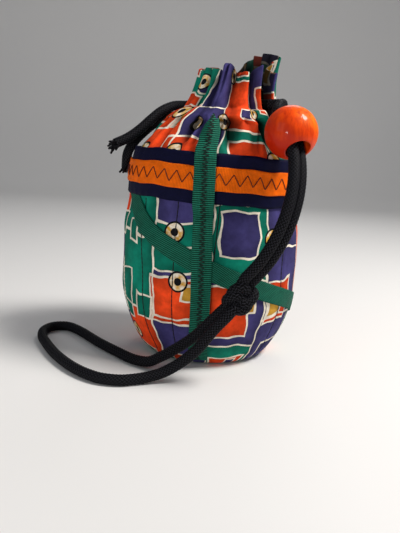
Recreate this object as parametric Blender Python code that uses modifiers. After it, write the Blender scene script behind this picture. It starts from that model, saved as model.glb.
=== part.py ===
"""Round kinchaku drawstring pouch, standing with its mouth drawn shut.

A printed cotton body of two panels on a round base, with a loose lining, a bound band with a
ribbon on it, two more ribbons, and one cord that runs through the casing, out at both side slits,
and on through a sliding wooden bead to a knot and a wrist loop.

Sizes are in metres and angles in degrees. The origin is the middle of the base, on the surface
that the pouch stands on. +X is right and -Y is the front. An angle round the pouch is counted
from the front, positive towards +X.
"""

from math import acos, ceil, cos, degrees, exp, pi, radians, sin, sqrt, tan

import bmesh
import bpy
from mathutils import Matrix, Vector

# Clearances between pieces that touch on the real pouch
GAP = 0.0003
CORD_CLEARANCE = 0.0004

# Body
BODY_RADIUS = 0.0534
BASE_SEAM_RADIUS = 0.0334
CORNER_HEIGHT = 0.044
WAIST_START = 0.076
WAIST_END = 0.096
WAIST_IN = 0.0027
SHOULDER_HEIGHT = 0.120
SHOULDER_TAPER = 0.0016
CLOTH = 0.0018
BASE_THICKNESS = 0.0020
BASE_LIFT = 0.0006
BASE_SIDES = 44

# Gathered neck, casing and collar
CASING_HEIGHT = 0.1475
CASING_HALF = 0.0055
NECK_RADIUS = 0.0285
THROAT_RADIUS = 0.0147
THROAT_SLOPE_BELOW = 3.5
THROAT_SLOPE_ABOVE = 1.2
COLLAR_HEIGHT = 0.027
COLLAR_RADIUS = 0.0242
COLLAR_CLOTH = 0.0030
COLLAR_LOW = 0.82
COLLAR_RISE = 0.43
COLLAR_PEAK_ANGLE = 110.0
COLLAR_PEAK_SPREAD = 0.9
PLEATS_PER_PANEL = 6
PLEAT_DEPTH = 0.0057
PLEAT_DRIFT = 0.24
PLEAT_VARIATION = 0.14
CASING_STIFFNESS = 0.45
COLUMNS_PER_PLEAT = 6
LEAN_START = 0.100
NECK_SHIFT = 0.0072
COLLAR_LEAN = 0.21

# Side slits, at the tops of the side seams
SLIT_ANGLE = 50.0
SLIT_START = 0.139
SLIT_HALF_AT_CASING = 15.0
SLIT_HALF_AT_TOP = 32.0

# Lining
LINING_CLOTH = 0.0006
LINING_TOP = 0.130
LINING_COLUMNS = 24

# Band and ribbons
BAND_BOTTOM = 0.0948
BAND_HEIGHT = 0.0270
BAND_TILT = 2.25
ORANGE_RIBBON_WIDTH = 0.0127
GREEN_RIBBON_WIDTH = 0.0106
RIBBON_THICKNESS = 0.0006
FRONT_RIBBON_X = -0.0043
FRONT_RIBBON_LEAN = 0.0019
FRONT_RIBBON_STRAY = 0.0026
FRONT_RIBBON_BOTTOM = 0.0040
FRONT_RIBBON_TOP = 0.1440
LAYER = RIBBON_THICKNESS + GAP
BAND_EASE = 0.0005
DIAGONAL_TOP = 0.0092
DIAGONAL_STEEP_AT = -72.0
DIAGONAL_STEEP_TURN = 39.0
DIAGONAL_STEEP_FALL = 0.0300
DIAGONAL_FALL_PER_DEGREE = 0.000268
DIAGONAL_START_RANGE = (-120.0, 0.0)
DIAGONAL_END_RANGE = (0.0, 300.0)
DIAGONAL_COLUMNS = 46
DIAGONAL_ROWS = 3
CORNER_EASE = 0.0006
FRONT_RIBBON_ROWS = 28
FRONT_RIBBON_COLUMNS = 3
FRONT_RIBBON_PINCH = 0.3
RING_ROWS = 3
RING_COLUMNS = 56

# Drawstring
CORD_DIAMETER = 0.0058
CASING_CORD_RADIUS = 0.0184
CORD_EXIT_RADIUS = 0.0290
STRAND_OFFSET = (CORD_DIAMETER + GAP) / 2
CORD_STEP = 0.0065
LOOP_STEP = 0.0095

# The doubled cord hangs in an arc in front of the shoulder, and the bead slides round it
BEAD_DIAMETER = 0.0280
BEAD_BORE = 0.0129
BEAD_LIP = 0.0005
BEAD_CENTRE = Vector((0.0384, -0.0505, 0.1344))
BEAD_TRAVEL_RADIUS = 0.0635
BEAD_DIRECTION = Vector((0.257, -0.641, -0.723)).normalized()
ARC_INWARD_HINT = Vector((-0.682, 0.410, -0.606))
ARC_BEFORE_BEAD = 0.014
ARC_AFTER_BEAD = 0.087
KNOT_CENTRE = Vector((0.0160, -0.0685, 0.0495))
KNOT_DIAMETER = 0.0185
KNOT_SHAPE = (1.0, 0.86, 0.94)
KNOT_TILT = 30.0

MILLIMETRE = 0.001

PRINT = ("printed_cotton", (0.02, 0.30, 0.25), 0.85)
NAVY = ("navy_tape", (0.02, 0.02, 0.09), 0.80)
ORANGE = ("orange_ribbon", (0.95, 0.20, 0.02), 0.75)
GREEN = ("green_ribbon", (0.02, 0.16, 0.10), 0.75)
BLACK = ("black_cord", (0.015, 0.015, 0.018), 0.80)
COTTON = ("plain_lining", (0.03, 0.04, 0.14), 0.85)
WOOD = ("stained_wood", (0.85, 0.10, 0.01), 0.25)


# Scene helpers

def clear_scene():
    for item in list(bpy.data.objects):
        bpy.data.objects.remove(item, do_unlink=True)


def new_collection(name):
    collection = bpy.data.collections.new(name)
    bpy.context.scene.collection.children.link(collection)
    return collection


def finish_material(name, colour, roughness):
    material = bpy.data.materials.get(name) or bpy.data.materials.new(name)
    material.use_nodes = True
    shader = material.node_tree.nodes["Principled BSDF"]
    shader.inputs["Base Color"].default_value = (*colour, 1.0)
    shader.inputs["Roughness"].default_value = roughness
    shader.inputs["Metallic"].default_value = 0.0
    return material


def add_object(name, data, finish, collection):
    item = bpy.data.objects.new(name, data)
    collection.objects.link(item)
    data.materials.append(finish_material(*finish))
    return item


def move_to(item, collection):
    for holder in list(item.users_collection):
        holder.objects.unlink(item)
    collection.objects.link(item)


def add_shell(name, outer, inner, finish, collection, closed=False, capped=False):
    """A cloth shell between two grids of points; capped grids start at a single middle point."""
    mesh = bpy.data.meshes.new(name)
    work = bmesh.new()
    outside = [[work.verts.new(point) for point in row] for row in outer]
    inside = [[work.verts.new(point) for point in row] for row in inner]
    rows = len(outer)
    columns = len(outer[0])
    last = columns if closed else columns - 1
    for i in range(rows - 1):
        for j in range(last):
            k = (j + 1) % columns
            work.faces.new((outside[i][j], outside[i][k], outside[i + 1][k], outside[i + 1][j]))
            work.faces.new((inside[i][j], inside[i + 1][j], inside[i + 1][k], inside[i][k]))
    for j in range(last):
        k = (j + 1) % columns
        if not capped:
            work.faces.new((outside[0][k], outside[0][j], inside[0][j], inside[0][k]))
        work.faces.new((outside[-1][j], outside[-1][k], inside[-1][k], inside[-1][j]))
    if not closed:
        for i in range(rows - 1):
            work.faces.new((outside[i][0], outside[i + 1][0], inside[i + 1][0], inside[i][0]))
            work.faces.new((outside[i + 1][-1], outside[i][-1], inside[i][-1], inside[i + 1][-1]))
    if capped:
        bmesh.ops.remove_doubles(work, verts=work.verts, dist=GAP / 100)
    bmesh.ops.recalc_face_normals(work, faces=work.faces)
    work.to_mesh(mesh)
    work.free()
    item = add_object(name, mesh, finish, collection)
    mesh.shade_smooth()
    mesh.set_sharp_from_angle(angle=radians(50))
    return item


def smooth_route(points, step=CORD_STEP):
    """Evenly spaced points on a smooth curve through the given ones."""
    fine = []
    ends = [points[0] * 2 - points[1]] + list(points) + [points[-1] * 2 - points[-2]]
    for before, start, end, after in zip(ends, ends[1:], ends[2:], ends[3:]):
        for k in range(16):
            t = k / 16
            fine.append(0.5 * (2 * start + (end - before) * t
                               + (2 * before - 5 * start + 4 * end - after) * t ** 2
                               + (3 * start - before - 3 * end + after) * t ** 3))
    fine.append(points[-1].copy())
    travelled = [0.0]
    for a, b in zip(fine, fine[1:]):
        travelled.append(travelled[-1] + (b - a).length)
    count = max(2, ceil(travelled[-1] / step))
    even = []
    at = 0
    for k in range(count + 1):
        wanted = travelled[-1] * k / count
        while at < len(fine) - 2 and travelled[at + 1] < wanted:
            at += 1
        part = (wanted - travelled[at]) / (travelled[at + 1] - travelled[at])
        even.append(fine[at].lerp(fine[at + 1], part))
    return even


def add_tube(name, points, radius, finish, collection, resolution=2):
    curve = bpy.data.curves.new(name, "CURVE")
    curve.dimensions = "3D"
    curve.bevel_depth = radius
    curve.bevel_resolution = resolution
    curve.use_fill_caps = True
    spline = curve.splines.new("POLY")
    spline.points.add(len(points) - 1)
    for place, point in zip(spline.points, points):
        place.co = (*point, 1.0)
    return add_object(name, curve, finish, collection)


def tube_cutter(name, points, radius, collection):
    """A tube made into a mesh, so that it can cut."""
    guide = add_tube(name, points, radius, BLACK, collection, resolution=3)
    bpy.context.view_layer.update()
    evaluated = guide.evaluated_get(bpy.context.evaluated_depsgraph_get())
    mesh = bpy.data.meshes.new_from_object(evaluated)
    work = bmesh.new()
    work.from_mesh(mesh)
    bmesh.ops.remove_doubles(work, verts=work.verts, dist=GAP / 100)
    bmesh.ops.recalc_face_normals(work, faces=work.faces)
    work.to_mesh(mesh)
    work.free()
    place = guide.matrix_world.copy()
    bpy.data.objects.remove(guide, do_unlink=True)
    cutter = bpy.data.objects.new(name, mesh)
    collection.objects.link(cutter)
    cutter.matrix_world = place
    cutter.hide_render = True
    cutter.display_type = "WIRE"
    return cutter


# The form of the pouch

def ease(low, high, value):
    t = min(1.0, max(0.0, (value - low) / (high - low)))
    return t * t * (3 - 2 * t)


def axis_shift(height):
    """How far the gathered top leans towards +X at a height."""
    span = CASING_HEIGHT - LEAN_START
    below = min(1.0, max(0.0, (height - LEAN_START) / span))
    return NECK_SHIFT * below ** 2 + COLLAR_LEAN * max(0.0, height - CASING_HEIGHT)


def body_radius(height):
    """Radius of the standing body: a soft round corner, straight sides and a slight waist."""
    rise = 1 - min(1.0, max(0.0, height / CORNER_HEIGHT))
    corner = (BODY_RADIUS - BASE_SEAM_RADIUS) * (1 - sqrt(1 - rise ** 2))
    waist = WAIST_IN * ease(WAIST_START, WAIST_END, height)
    taper = SHOULDER_TAPER * max(0.0, height - WAIST_END) / (SHOULDER_HEIGHT - WAIST_END)
    return BODY_RADIUS - corner - waist - taper


def crest_radius(height):
    """Radius over the crests of the gathers, which is the plain radius of the body below them."""
    if height <= SHOULDER_HEIGHT:
        return body_radius(height)
    if height <= CASING_HEIGHT:
        t = (height - SHOULDER_HEIGHT) / (CASING_HEIGHT - SHOULDER_HEIGHT)
        cone = 1 - t
        dome = sqrt(1 - t ** 2)
        return NECK_RADIUS + (body_radius(SHOULDER_HEIGHT) - NECK_RADIUS) * (cone + dome) / 2
    t = min(1.0, (height - CASING_HEIGHT) / COLLAR_HEIGHT)
    return COLLAR_RADIUS + (NECK_RADIUS - COLLAR_RADIUS) * (1 - t) ** 3


def pleat_depth(height):
    t = (height - SHOULDER_HEIGHT) / (CASING_HEIGHT - SHOULDER_HEIGHT)
    return PLEAT_DEPTH * min(1.0, max(0.0, t))


def near_casing(height):
    """1 at the casing, falling to 0 away from it."""
    return 1 - ease(CASING_HALF, 2 * CASING_HALF, abs(height - CASING_HEIGHT))


def throat_radius(height):
    """Inner crest radius where the doubled cloth of the casing crowds the mouth."""
    past = abs(height - CASING_HEIGHT) - CASING_HALF
    slope = THROAT_SLOPE_BELOW if height < CASING_HEIGHT else THROAT_SLOPE_ABOVE
    return THROAT_RADIUS + slope * max(0.0, past)


def inner_radius(height):
    wall = CLOTH if height < CASING_HEIGHT else COLLAR_CLOTH
    return min(crest_radius(height) - wall, throat_radius(height))


def inner_rise(height):
    """The wall turns under at the base, so its inner face sits higher there."""
    return CLOTH * max(0.0, 1 - 3 * height / CORNER_HEIGHT)


def collar_height(height, angle):
    """The collar stands up highest where the back panel ends, behind the bead."""
    if height <= CASING_HEIGHT:
        return height
    off = (angle - COLLAR_PEAK_ANGLE + 180) % 360 - 180
    peak = max(0.0, cos(radians(off * COLLAR_PEAK_SPREAD))) ** 1.5
    return CASING_HEIGHT + (height - CASING_HEIGHT) * (COLLAR_LOW + COLLAR_RISE * peak)


def at(angle, radius, height):
    """A point from its angle round the pouch, its radius and its height."""
    turn = radians(angle)
    return Vector((axis_shift(height) + radius * sin(turn), -radius * cos(turn), height))


def fold(share):
    """0 on a crest and up to 1 in a valley, across a panel from edge to edge."""
    drift = PLEAT_DRIFT * sin(4 * pi * share) * sin(pi * share)
    wave = 0.5 - 0.5 * cos(2 * pi * (PLEATS_PER_PANEL * share + drift))
    return wave * (1 - PLEAT_VARIATION + PLEAT_VARIATION * cos(6 * pi * share))


def slit_half(height):
    """Half the angle between the panels: a closed seam below, an open slit above."""
    seam = degrees(GAP / 2 / crest_radius(height))
    if height <= SLIT_START:
        return seam
    top = CASING_HEIGHT + COLLAR_HEIGHT
    opening = SLIT_HALF_AT_CASING * ease(SLIT_START, CASING_HEIGHT - CASING_HALF, height)
    spread = (SLIT_HALF_AT_TOP - SLIT_HALF_AT_CASING) * max(0.0, height - CASING_HEIGHT)
    return seam + opening + spread / (top - CASING_HEIGHT)


# Printed cotton

def panel_heights():
    corner = [CORNER_HEIGHT * share for share in (0.07, 0.18, 0.42, 1.0)]
    waist = [WAIST_START, (WAIST_START + WAIST_END) / 2, WAIST_END]
    waist.append((WAIST_END + SHOULDER_HEIGHT) / 2)
    rise = CASING_HEIGHT - CASING_HALF - SHOULDER_HEIGHT
    shoulder = [SHOULDER_HEIGHT + rise * share for share in (0.0, 0.4, 0.72, 1.0)]
    above = CASING_HEIGHT + CASING_HALF
    top = CASING_HEIGHT + COLLAR_HEIGHT
    collar = [above + (top - above) * share for share in (0.0, 0.3, 1.0)]
    return [BASE_LIFT] + corner + waist + shoulder + [CASING_HEIGHT] + collar


def panel_grid(middle, inner):
    grid = []
    columns = PLEATS_PER_PANEL * COLUMNS_PER_PLEAT
    for height in panel_heights():
        row = []
        for column in range(columns + 1):
            share = column / columns
            angle = middle + (share - 0.5) * (180 - 2 * slit_half(height))
            depth = pleat_depth(height) * fold(share)
            radius = crest_radius(height) - depth
            level = collar_height(height, angle)
            if inner:
                radius = inner_radius(height)
                radius -= depth * (1 - CASING_STIFFNESS * near_casing(height))
                level += inner_rise(height)
            row.append(at(angle, radius, level))
        grid.append(row)
    return grid


def casing_route(middle, height):
    """Path of the cord through one panel's casing, from slit to slit."""
    lead = [(0.0, CORD_EXIT_RADIUS - 5 * GAP), (0.4, 0.0252), (5.5, 0.0220), (13.5, 0.0197),
            (23.0, CASING_CORD_RADIUS)]
    route = [at(middle - 90 + off, radius, height) for off, radius in lead]
    for turn in range(-48, 49, 16):
        route.append(at(middle + turn, CASING_CORD_RADIUS, height))
    route += [at(middle + 90 - off, radius, height) for off, radius in reversed(lead)]
    return route


def make_panel(name, middle, cord_height, parts, cutters):
    """One printed panel with its gathers, its half of the collar and a casing for the cord."""
    panel = add_shell(name, panel_grid(middle, False), panel_grid(middle, True), PRINT, parts)
    route = smooth_route(casing_route(middle, cord_height), CORD_STEP)
    channel = tube_cutter(name + "_casing", route, CORD_DIAMETER / 2 + CORD_CLEARANCE, cutters)
    cut = panel.modifiers.new("casing", "BOOLEAN")
    cut.operation = "DIFFERENCE"
    cut.solver = "EXACT"
    cut.object = channel
    return panel


def make_base(parts):
    """The round base, a flat disc of cloth over a stiffener, inside the lower seam."""
    inner_edge = inner_radius(BASE_LIFT)
    bpy.ops.mesh.primitive_cylinder_add(
        vertices=BASE_SIDES, radius=inner_edge - GAP, depth=BASE_THICKNESS,
        location=(0, 0, BASE_THICKNESS / 2))
    base = bpy.context.object
    base.name = "base_panel"
    base.data.materials.append(finish_material(*PRINT))
    move_to(base, parts)
    edge = base.modifiers.new("soft_edge", "BEVEL")
    edge.width = BASE_THICKNESS / 4
    edge.segments = 1
    edge.limit_method = "ANGLE"
    return base


def lining_grid(inset):
    """A cup just inside the panels; inset is its distance from their inner faces."""
    floor = BASE_THICKNESS + inset
    heights = [height for height in panel_heights() if BASE_LIFT < height <= LINING_TOP]
    angles = [360 * k / LINING_COLUMNS for k in range(LINING_COLUMNS)]
    reach = inner_radius(BASE_LIFT) - inset - GAP
    grid = [[Vector((0, 0, floor))] * LINING_COLUMNS]
    grid.append([at(angle, reach, floor) for angle in angles])
    for height in heights:
        radius = crest_radius(height) - CLOTH - pleat_depth(height) - inset
        level = height + inner_rise(height) + inset * max(0.0, 1 - height / CORNER_HEIGHT)
        grid.append([at(angle, radius, level) for angle in angles])
    return grid


def make_lining(parts):
    outer = lining_grid(GAP)
    inner = lining_grid(GAP + LINING_CLOTH)
    return add_shell("lining", outer, inner, COTTON, parts, closed=True, capped=True)


# Band and ribbons

def band_level(height, angle):
    """The band goes round in a plane that dips towards +X."""
    return height - tan(radians(BAND_TILT)) * body_radius(height) * sin(radians(angle))


def ring_grid(bottom, top, lift):
    grid = []
    for k in range(RING_ROWS):
        height = bottom + (top - bottom) * k / (RING_ROWS - 1)
        row = []
        for column in range(RING_COLUMNS):
            angle = 360 * column / RING_COLUMNS
            level = band_level(height, angle)
            row.append(at(angle, body_radius(level) + lift, level))
        grid.append(row)
    return grid


def make_ring(name, bottom, height, lift, finish, parts):
    """A ribbon sewn flat round the pouch, its join at the back closed."""
    outer = ring_grid(bottom, bottom + height, lift + RIBBON_THICKNESS)
    inner = ring_grid(bottom, bottom + height, lift)
    return add_shell(name, outer, inner, finish, parts, closed=True)


def diagonal_level(angle):
    """Height of the slanting ribbon's middle line: steep at its start, then even."""
    past = angle - DIAGONAL_STEEP_AT
    steep = DIAGONAL_STEEP_FALL * (1 - exp(-past / DIAGONAL_STEEP_TURN))
    return BAND_BOTTOM + DIAGONAL_TOP - DIAGONAL_FALL_PER_DEGREE * past - steep


def diagonal_place(angle, across):
    """Angle and height of a place on the slanting ribbon, across from its middle line."""
    step = 1.0
    run = radians(2 * step) * BODY_RADIUS
    rise = diagonal_level(angle + step) - diagonal_level(angle - step)
    slope = Vector((run, rise)).normalized()
    turned = angle - degrees(across * slope.y / BODY_RADIUS)
    return turned, diagonal_level(angle) + across * slope.x


def diagonal_ends(across):
    """Where one edge or thread of the ribbon passes under the band and reaches the base seam."""
    def below_band(angle):
        turned, level = diagonal_place(angle, across)
        return level < band_level(BAND_BOTTOM, turned) - GAP

    def below_seam(angle):
        return diagonal_place(angle, across)[1] < FRONT_RIBBON_BOTTOM

    halvings = 24
    ends = []
    for passed, (low, high) in ((below_band, DIAGONAL_START_RANGE),
                                (below_seam, DIAGONAL_END_RANGE)):
        for _ in range(halvings):
            middle = (low + high) / 2
            low, high = (low, middle) if passed(middle) else (middle, high)
        ends.append(high)
    return ends


def make_diagonal_ribbon(parts):
    """The slanting ribbon, from under the band, round to the back and down to the base seam.

    Its rows run from the upper edge to the lower one, so that the faces split the short way.
    """
    grids = []
    for lift in (GAP + RIBBON_THICKNESS, GAP):
        grid = []
        for k in range(DIAGONAL_ROWS + 1):
            across = (0.5 - k / DIAGONAL_ROWS) * GREEN_RIBBON_WIDTH
            start, end = diagonal_ends(across)
            row = []
            for n in range(DIAGONAL_COLUMNS + 1):
                angle = start + (end - start) * n / DIAGONAL_COLUMNS
                turned, level = diagonal_place(angle, across)
                slack = CORNER_EASE * (1 - ease(0.0, CORNER_HEIGHT, level))
                row.append(at(turned, crest_radius(level) + lift + slack, level))
            grid.append(row)
        grids.append(grid)
    return add_shell("diagonal_ribbon", grids[0], grids[1], GREEN, parts)


def front_ribbon_angle(offset, height):
    """The upright ribbon leans to the left below the band, and to the right into the gathers."""
    lean = FRONT_RIBBON_LEAN * ease(CORNER_HEIGHT, BAND_BOTTOM, height)
    stray = FRONT_RIBBON_STRAY * ease(SHOULDER_HEIGHT, FRONT_RIBBON_TOP, height)
    reach = FRONT_RIBBON_X - lean + stray + offset - axis_shift(height)
    return degrees(pi / 2 - acos(reach / crest_radius(height)))


def front_ribbon_lift(height):
    """The upright ribbon climbs over the slanting one and over the band."""
    ramp = GREEN_RIBBON_WIDTH / 2
    crossing = diagonal_level(front_ribbon_angle(0.0, BODY_RADIUS))
    reach = GREEN_RIBBON_WIDTH * 0.95
    over_diagonal = 1 - ease(reach, reach + ramp, abs(height - crossing))
    middle = BAND_BOTTOM + BAND_HEIGHT / 2
    half = BAND_HEIGHT / 2 + RIBBON_THICKNESS
    over_band = 1 - ease(half, half + ramp, abs(height - middle))
    return GAP + max(LAYER * over_diagonal, (BAND_EASE + 2 * LAYER) * over_band)


def make_front_ribbon(parts):
    """The upright ribbon from the gathers, over the band, down to the base seam."""
    length = FRONT_RIBBON_TOP - FRONT_RIBBON_BOTTOM
    grids = []
    for thickness in (RIBBON_THICKNESS, 0.0):
        grid = []
        for k in range(FRONT_RIBBON_ROWS + 1):
            height = FRONT_RIBBON_BOTTOM + length * k / FRONT_RIBBON_ROWS
            pinch = 1 - FRONT_RIBBON_PINCH * ease(SHOULDER_HEIGHT, FRONT_RIBBON_TOP, height)
            lift = front_ribbon_lift(height) + thickness
            row = []
            for n in range(FRONT_RIBBON_COLUMNS + 1):
                offset = (n / FRONT_RIBBON_COLUMNS - 0.5) * GREEN_RIBBON_WIDTH * pinch
                angle = front_ribbon_angle(offset, height)
                row.append(at(angle, crest_radius(height) + lift, height))
            grid.append(row)
        grids.append(grid)
    return add_shell("front_ribbon", grids[0], grids[1], GREEN, parts)


# Drawstring

def travel_frame():
    """Centre of the bead's path, and the directions to the bead, along the path and across it."""
    inward = (ARC_INWARD_HINT - BEAD_DIRECTION * ARC_INWARD_HINT.dot(BEAD_DIRECTION)).normalized()
    centre = BEAD_CENTRE + inward * BEAD_TRAVEL_RADIUS
    across = BEAD_DIRECTION.cross(inward)
    return centre, -inward, BEAD_DIRECTION, across


def arc_point(distance):
    """Middle of the doubled cord at a distance past the bead's resting centre."""
    centre, outward, along, across = travel_frame()
    turn = distance / BEAD_TRAVEL_RADIUS
    return centre + (outward * cos(turn) + along * sin(turn)) * BEAD_TRAVEL_RADIUS


def slit_exit(angle, side):
    """A strand leaves its slit straight out; one strand lies above the other there."""
    height = CASING_HEIGHT + side * STRAND_OFFSET
    return [at(angle, CORD_EXIT_RADIUS, height),
            at(angle, CORD_EXIT_RADIUS + 1.3 * CORD_DIAMETER, height)]


def strand_route(side):
    """One of the two strands from the right slit, through the bead, to the knot.

    They leave the slit one above the other and turn side by side on their way to the bead.
    """
    across = travel_frame()[3]
    approach = [Vector((35.8, -28.0, 147.3)), Vector((34.4, -35.0, 145.9))]
    middle = slit_exit(SLIT_ANGLE, 0) + [point * MILLIMETRE for point in approach]
    turning = len(middle)
    steps = 9
    for k in range(steps + 1):
        middle.append(arc_point((ARC_BEFORE_BEAD + ARC_AFTER_BEAD) * k / steps - ARC_BEFORE_BEAD))
    route = []
    for k, point in enumerate(middle):
        forward = (middle[min(k + 1, len(middle) - 1)] - middle[max(k - 1, 0)]).normalized()
        share = min(1.0, max(0, k - 1) / (turning - 1))
        aside = Vector((0, 0, 1)).lerp(-across, share)
        aside = (aside - forward * aside.dot(forward)).normalized()
        route.append(point + aside * side * STRAND_OFFSET)
    return route


def loop_route():
    """The wrist loop: down to the surface, round in a long loop, and back up to the knot.

    Heights are counted from the middle of the cord where it lies on the surface.
    """
    near = [(11.2, -72.6, 38.5), (3.2, -71.4, 28.6), (-3.6, -69.4, 18.4), (-9.8, -68.2, 11.6),
            (-16.4, -67.8, 6.3), (-23.2, -68.4, 2.5), (-30.4, -70.4, 0.6), (-37.4, -73.0, 0.0),
            (-45.6, -75.2, 0.0), (-57.4, -72.4, 0.0), (-71.5, -60.6, 0.0), (-85.8, -41.6, 0.0),
            (-97.5, -20.4, 0.0), (-102.8, -8.0, 0.0), (-104.6, 3.2, 0.0), (-101.0, 12.6, 0.0),
            (-92.0, 14.8, 0.0), (-81.6, 5.6, 0.0), (-66.4, -14.6, 0.0), (-51.8, -31.4, 0.0),
            (-41.2, -42.2, 0.0), (-32.2, -48.4, 1.2), (-25.4, -52.0, 5.4), (-19.2, -55.4, 10.2),
            (-11.6, -59.0, 16.6), (-4.9, -61.8, 23.2), (1.2, -64.0, 30.6), (8.6, -66.6, 39.4)]
    lying = CORD_DIAMETER / 2 + GAP / 3
    return [Vector(point) * MILLIMETRE + Vector((0, 0, lying)) for point in near]


def tail_route(side):
    """One of the two free ends that come out of the left slit and lie over the shoulder."""
    upper = [(-27.6, 22.2, 149.8), (-34.4, 15.4, 146.0), (-40.6, 9.4, 140.0),
             (-46.6, 5.4, 133.8), (-53.3, 1.8, 128.4), (-60.6, -2.0, 124.4)]
    lower = [(-30.0, 24.2, 143.0), (-38.2, 19.2, 138.8), (-45.0, 15.2, 132.8),
             (-50.6, 12.4, 126.4), (-54.4, 10.4, 119.2), (-54.9, 8.4, 110.2)]
    points = upper if side > 0 else lower
    return slit_exit(SLIT_ANGLE - 180, side) + [Vector(point) * MILLIMETRE for point in points]


def make_drawstring(parts):
    """One braided cord, in the stretches that lie between casing, bead and knot."""
    radius = CORD_DIAMETER / 2
    middle = SLIT_ANGLE - 90
    stretches = {
        "casing_cord_front": casing_route(middle, CASING_HEIGHT + STRAND_OFFSET),
        "casing_cord_back": casing_route(middle + 180, CASING_HEIGHT - STRAND_OFFSET),
        "strand_front": strand_route(1),
        "strand_back": strand_route(-1),
        "tail_upper": tail_route(1),
        "tail_lower": tail_route(-1),
        "wrist_loop": loop_route(),
    }
    for name, route in stretches.items():
        step = LOOP_STEP if name == "wrist_loop" else CORD_STEP
        add_tube(name, smooth_route(route, step), radius, BLACK, parts)


def make_knot(parts):
    """The knot in the doubled cord, as its outer shape."""
    bpy.ops.mesh.primitive_uv_sphere_add(segments=14, ring_count=9, radius=KNOT_DIAMETER / 2)
    knot = bpy.context.object
    knot.name = "cord_knot"
    knot.data.transform(Matrix.Diagonal((*KNOT_SHAPE, 1.0)))
    knot.data.materials.append(finish_material(*BLACK))
    knot.data.shade_smooth()
    knot.rotation_euler = (0.0, radians(KNOT_TILT), 0.0)
    knot.location = KNOT_CENTRE
    move_to(knot, parts)
    return knot


def make_bead(parts):
    """A turned wooden ball with a wide bore, on the axis that it swings about as it slides."""
    radius = BEAD_DIAMETER / 2
    bore = BEAD_BORE / 2
    mouth = degrees(acos((bore + BEAD_LIP) / radius))
    profile = []
    steps = 12
    for k in range(steps + 1):
        angle = radians(mouth - 2 * mouth * k / steps)
        profile.append((radius * cos(angle), radius * sin(angle)))
    lip = sqrt(radius ** 2 - (bore + BEAD_LIP) ** 2) - BEAD_LIP
    profile += [(bore, -lip), (bore, lip)]
    mesh = bpy.data.meshes.new("bead")
    edges = [(k, (k + 1) % len(profile)) for k in range(len(profile))]
    mesh.from_pydata([(x, 0.0, z) for x, z in profile], edges, [])
    bead = add_object("bead", mesh, WOOD, parts)
    turning = bead.modifiers.new("turned", "SCREW")
    turning.steps = 24
    turning.render_steps = 24
    turning.use_merge_vertices = True
    turning.merge_threshold = GAP / 10
    turning.use_smooth_shade = True

    centre, outward, along, across = travel_frame()
    pivot = bpy.data.objects.new("bead_slide_axis", None)
    parts.objects.link(pivot)
    turned = Matrix((outward, along, across)).transposed().to_4x4()
    pivot.matrix_world = Matrix.Translation(centre) @ turned
    bead.parent = pivot
    bead.location = (BEAD_TRAVEL_RADIUS, 0.0, 0.0)
    bead.rotation_euler = (radians(-90), 0.0, 0.0)
    return bead


def main():
    clear_scene()
    parts = new_collection("kinchaku_pouch")
    cutters = new_collection("cutters")
    middle = SLIT_ANGLE - 90
    make_panel("front_panel", middle, CASING_HEIGHT + STRAND_OFFSET, parts, cutters)
    make_panel("back_panel", middle + 180, CASING_HEIGHT - STRAND_OFFSET, parts, cutters)
    make_base(parts)
    make_lining(parts)
    make_ring("navy_band", BAND_BOTTOM, BAND_HEIGHT, BAND_EASE, NAVY, parts)
    make_ring("orange_ribbon", BAND_BOTTOM + (BAND_HEIGHT - ORANGE_RIBBON_WIDTH) / 2,
              ORANGE_RIBBON_WIDTH, BAND_EASE + LAYER, ORANGE, parts)
    make_diagonal_ribbon(parts)
    make_front_ribbon(parts)
    make_drawstring(parts)
    make_knot(parts)
    make_bead(parts)


main()
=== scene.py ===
"""Dresses a round kinchaku drawstring pouch: printed cotton, ribbons, braided cord and a bead.

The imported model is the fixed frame. Sizes are in metres and angles in degrees. An angle round the
pouch is counted from the front, positive towards +X, as in the part's source.
"""

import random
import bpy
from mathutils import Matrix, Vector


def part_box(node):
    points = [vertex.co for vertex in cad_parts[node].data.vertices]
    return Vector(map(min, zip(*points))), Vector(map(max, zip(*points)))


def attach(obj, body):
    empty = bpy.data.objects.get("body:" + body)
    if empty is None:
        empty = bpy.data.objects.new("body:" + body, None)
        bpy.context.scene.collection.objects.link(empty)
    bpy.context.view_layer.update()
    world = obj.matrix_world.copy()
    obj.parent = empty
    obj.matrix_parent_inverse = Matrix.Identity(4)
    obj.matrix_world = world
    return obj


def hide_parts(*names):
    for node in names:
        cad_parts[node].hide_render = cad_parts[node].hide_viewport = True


bl_info = {
    "name": "Kinchaku drawstring pouch",
    "version": (1, 0, 0),
    "blender": (4, 5, 0),
    "location": "View3D > Sidebar > Pouch",
    "description": "Makes the cloth, ribbons, cord and bead of a drawstring pouch",
    "category": "Add Mesh",
}

import bpy
import numpy as np
from bpy.props import FloatProperty, FloatVectorProperty, IntProperty, PointerProperty
from bpy.types import Operator, Panel, PropertyGroup
from mathutils import Matrix, Vector

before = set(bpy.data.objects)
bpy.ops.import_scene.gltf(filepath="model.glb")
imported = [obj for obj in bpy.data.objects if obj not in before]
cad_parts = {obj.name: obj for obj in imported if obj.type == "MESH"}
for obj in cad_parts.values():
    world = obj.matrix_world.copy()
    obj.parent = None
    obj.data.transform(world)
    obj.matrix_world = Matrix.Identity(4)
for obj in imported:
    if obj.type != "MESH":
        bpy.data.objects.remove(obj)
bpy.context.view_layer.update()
MM = 0.001

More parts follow.
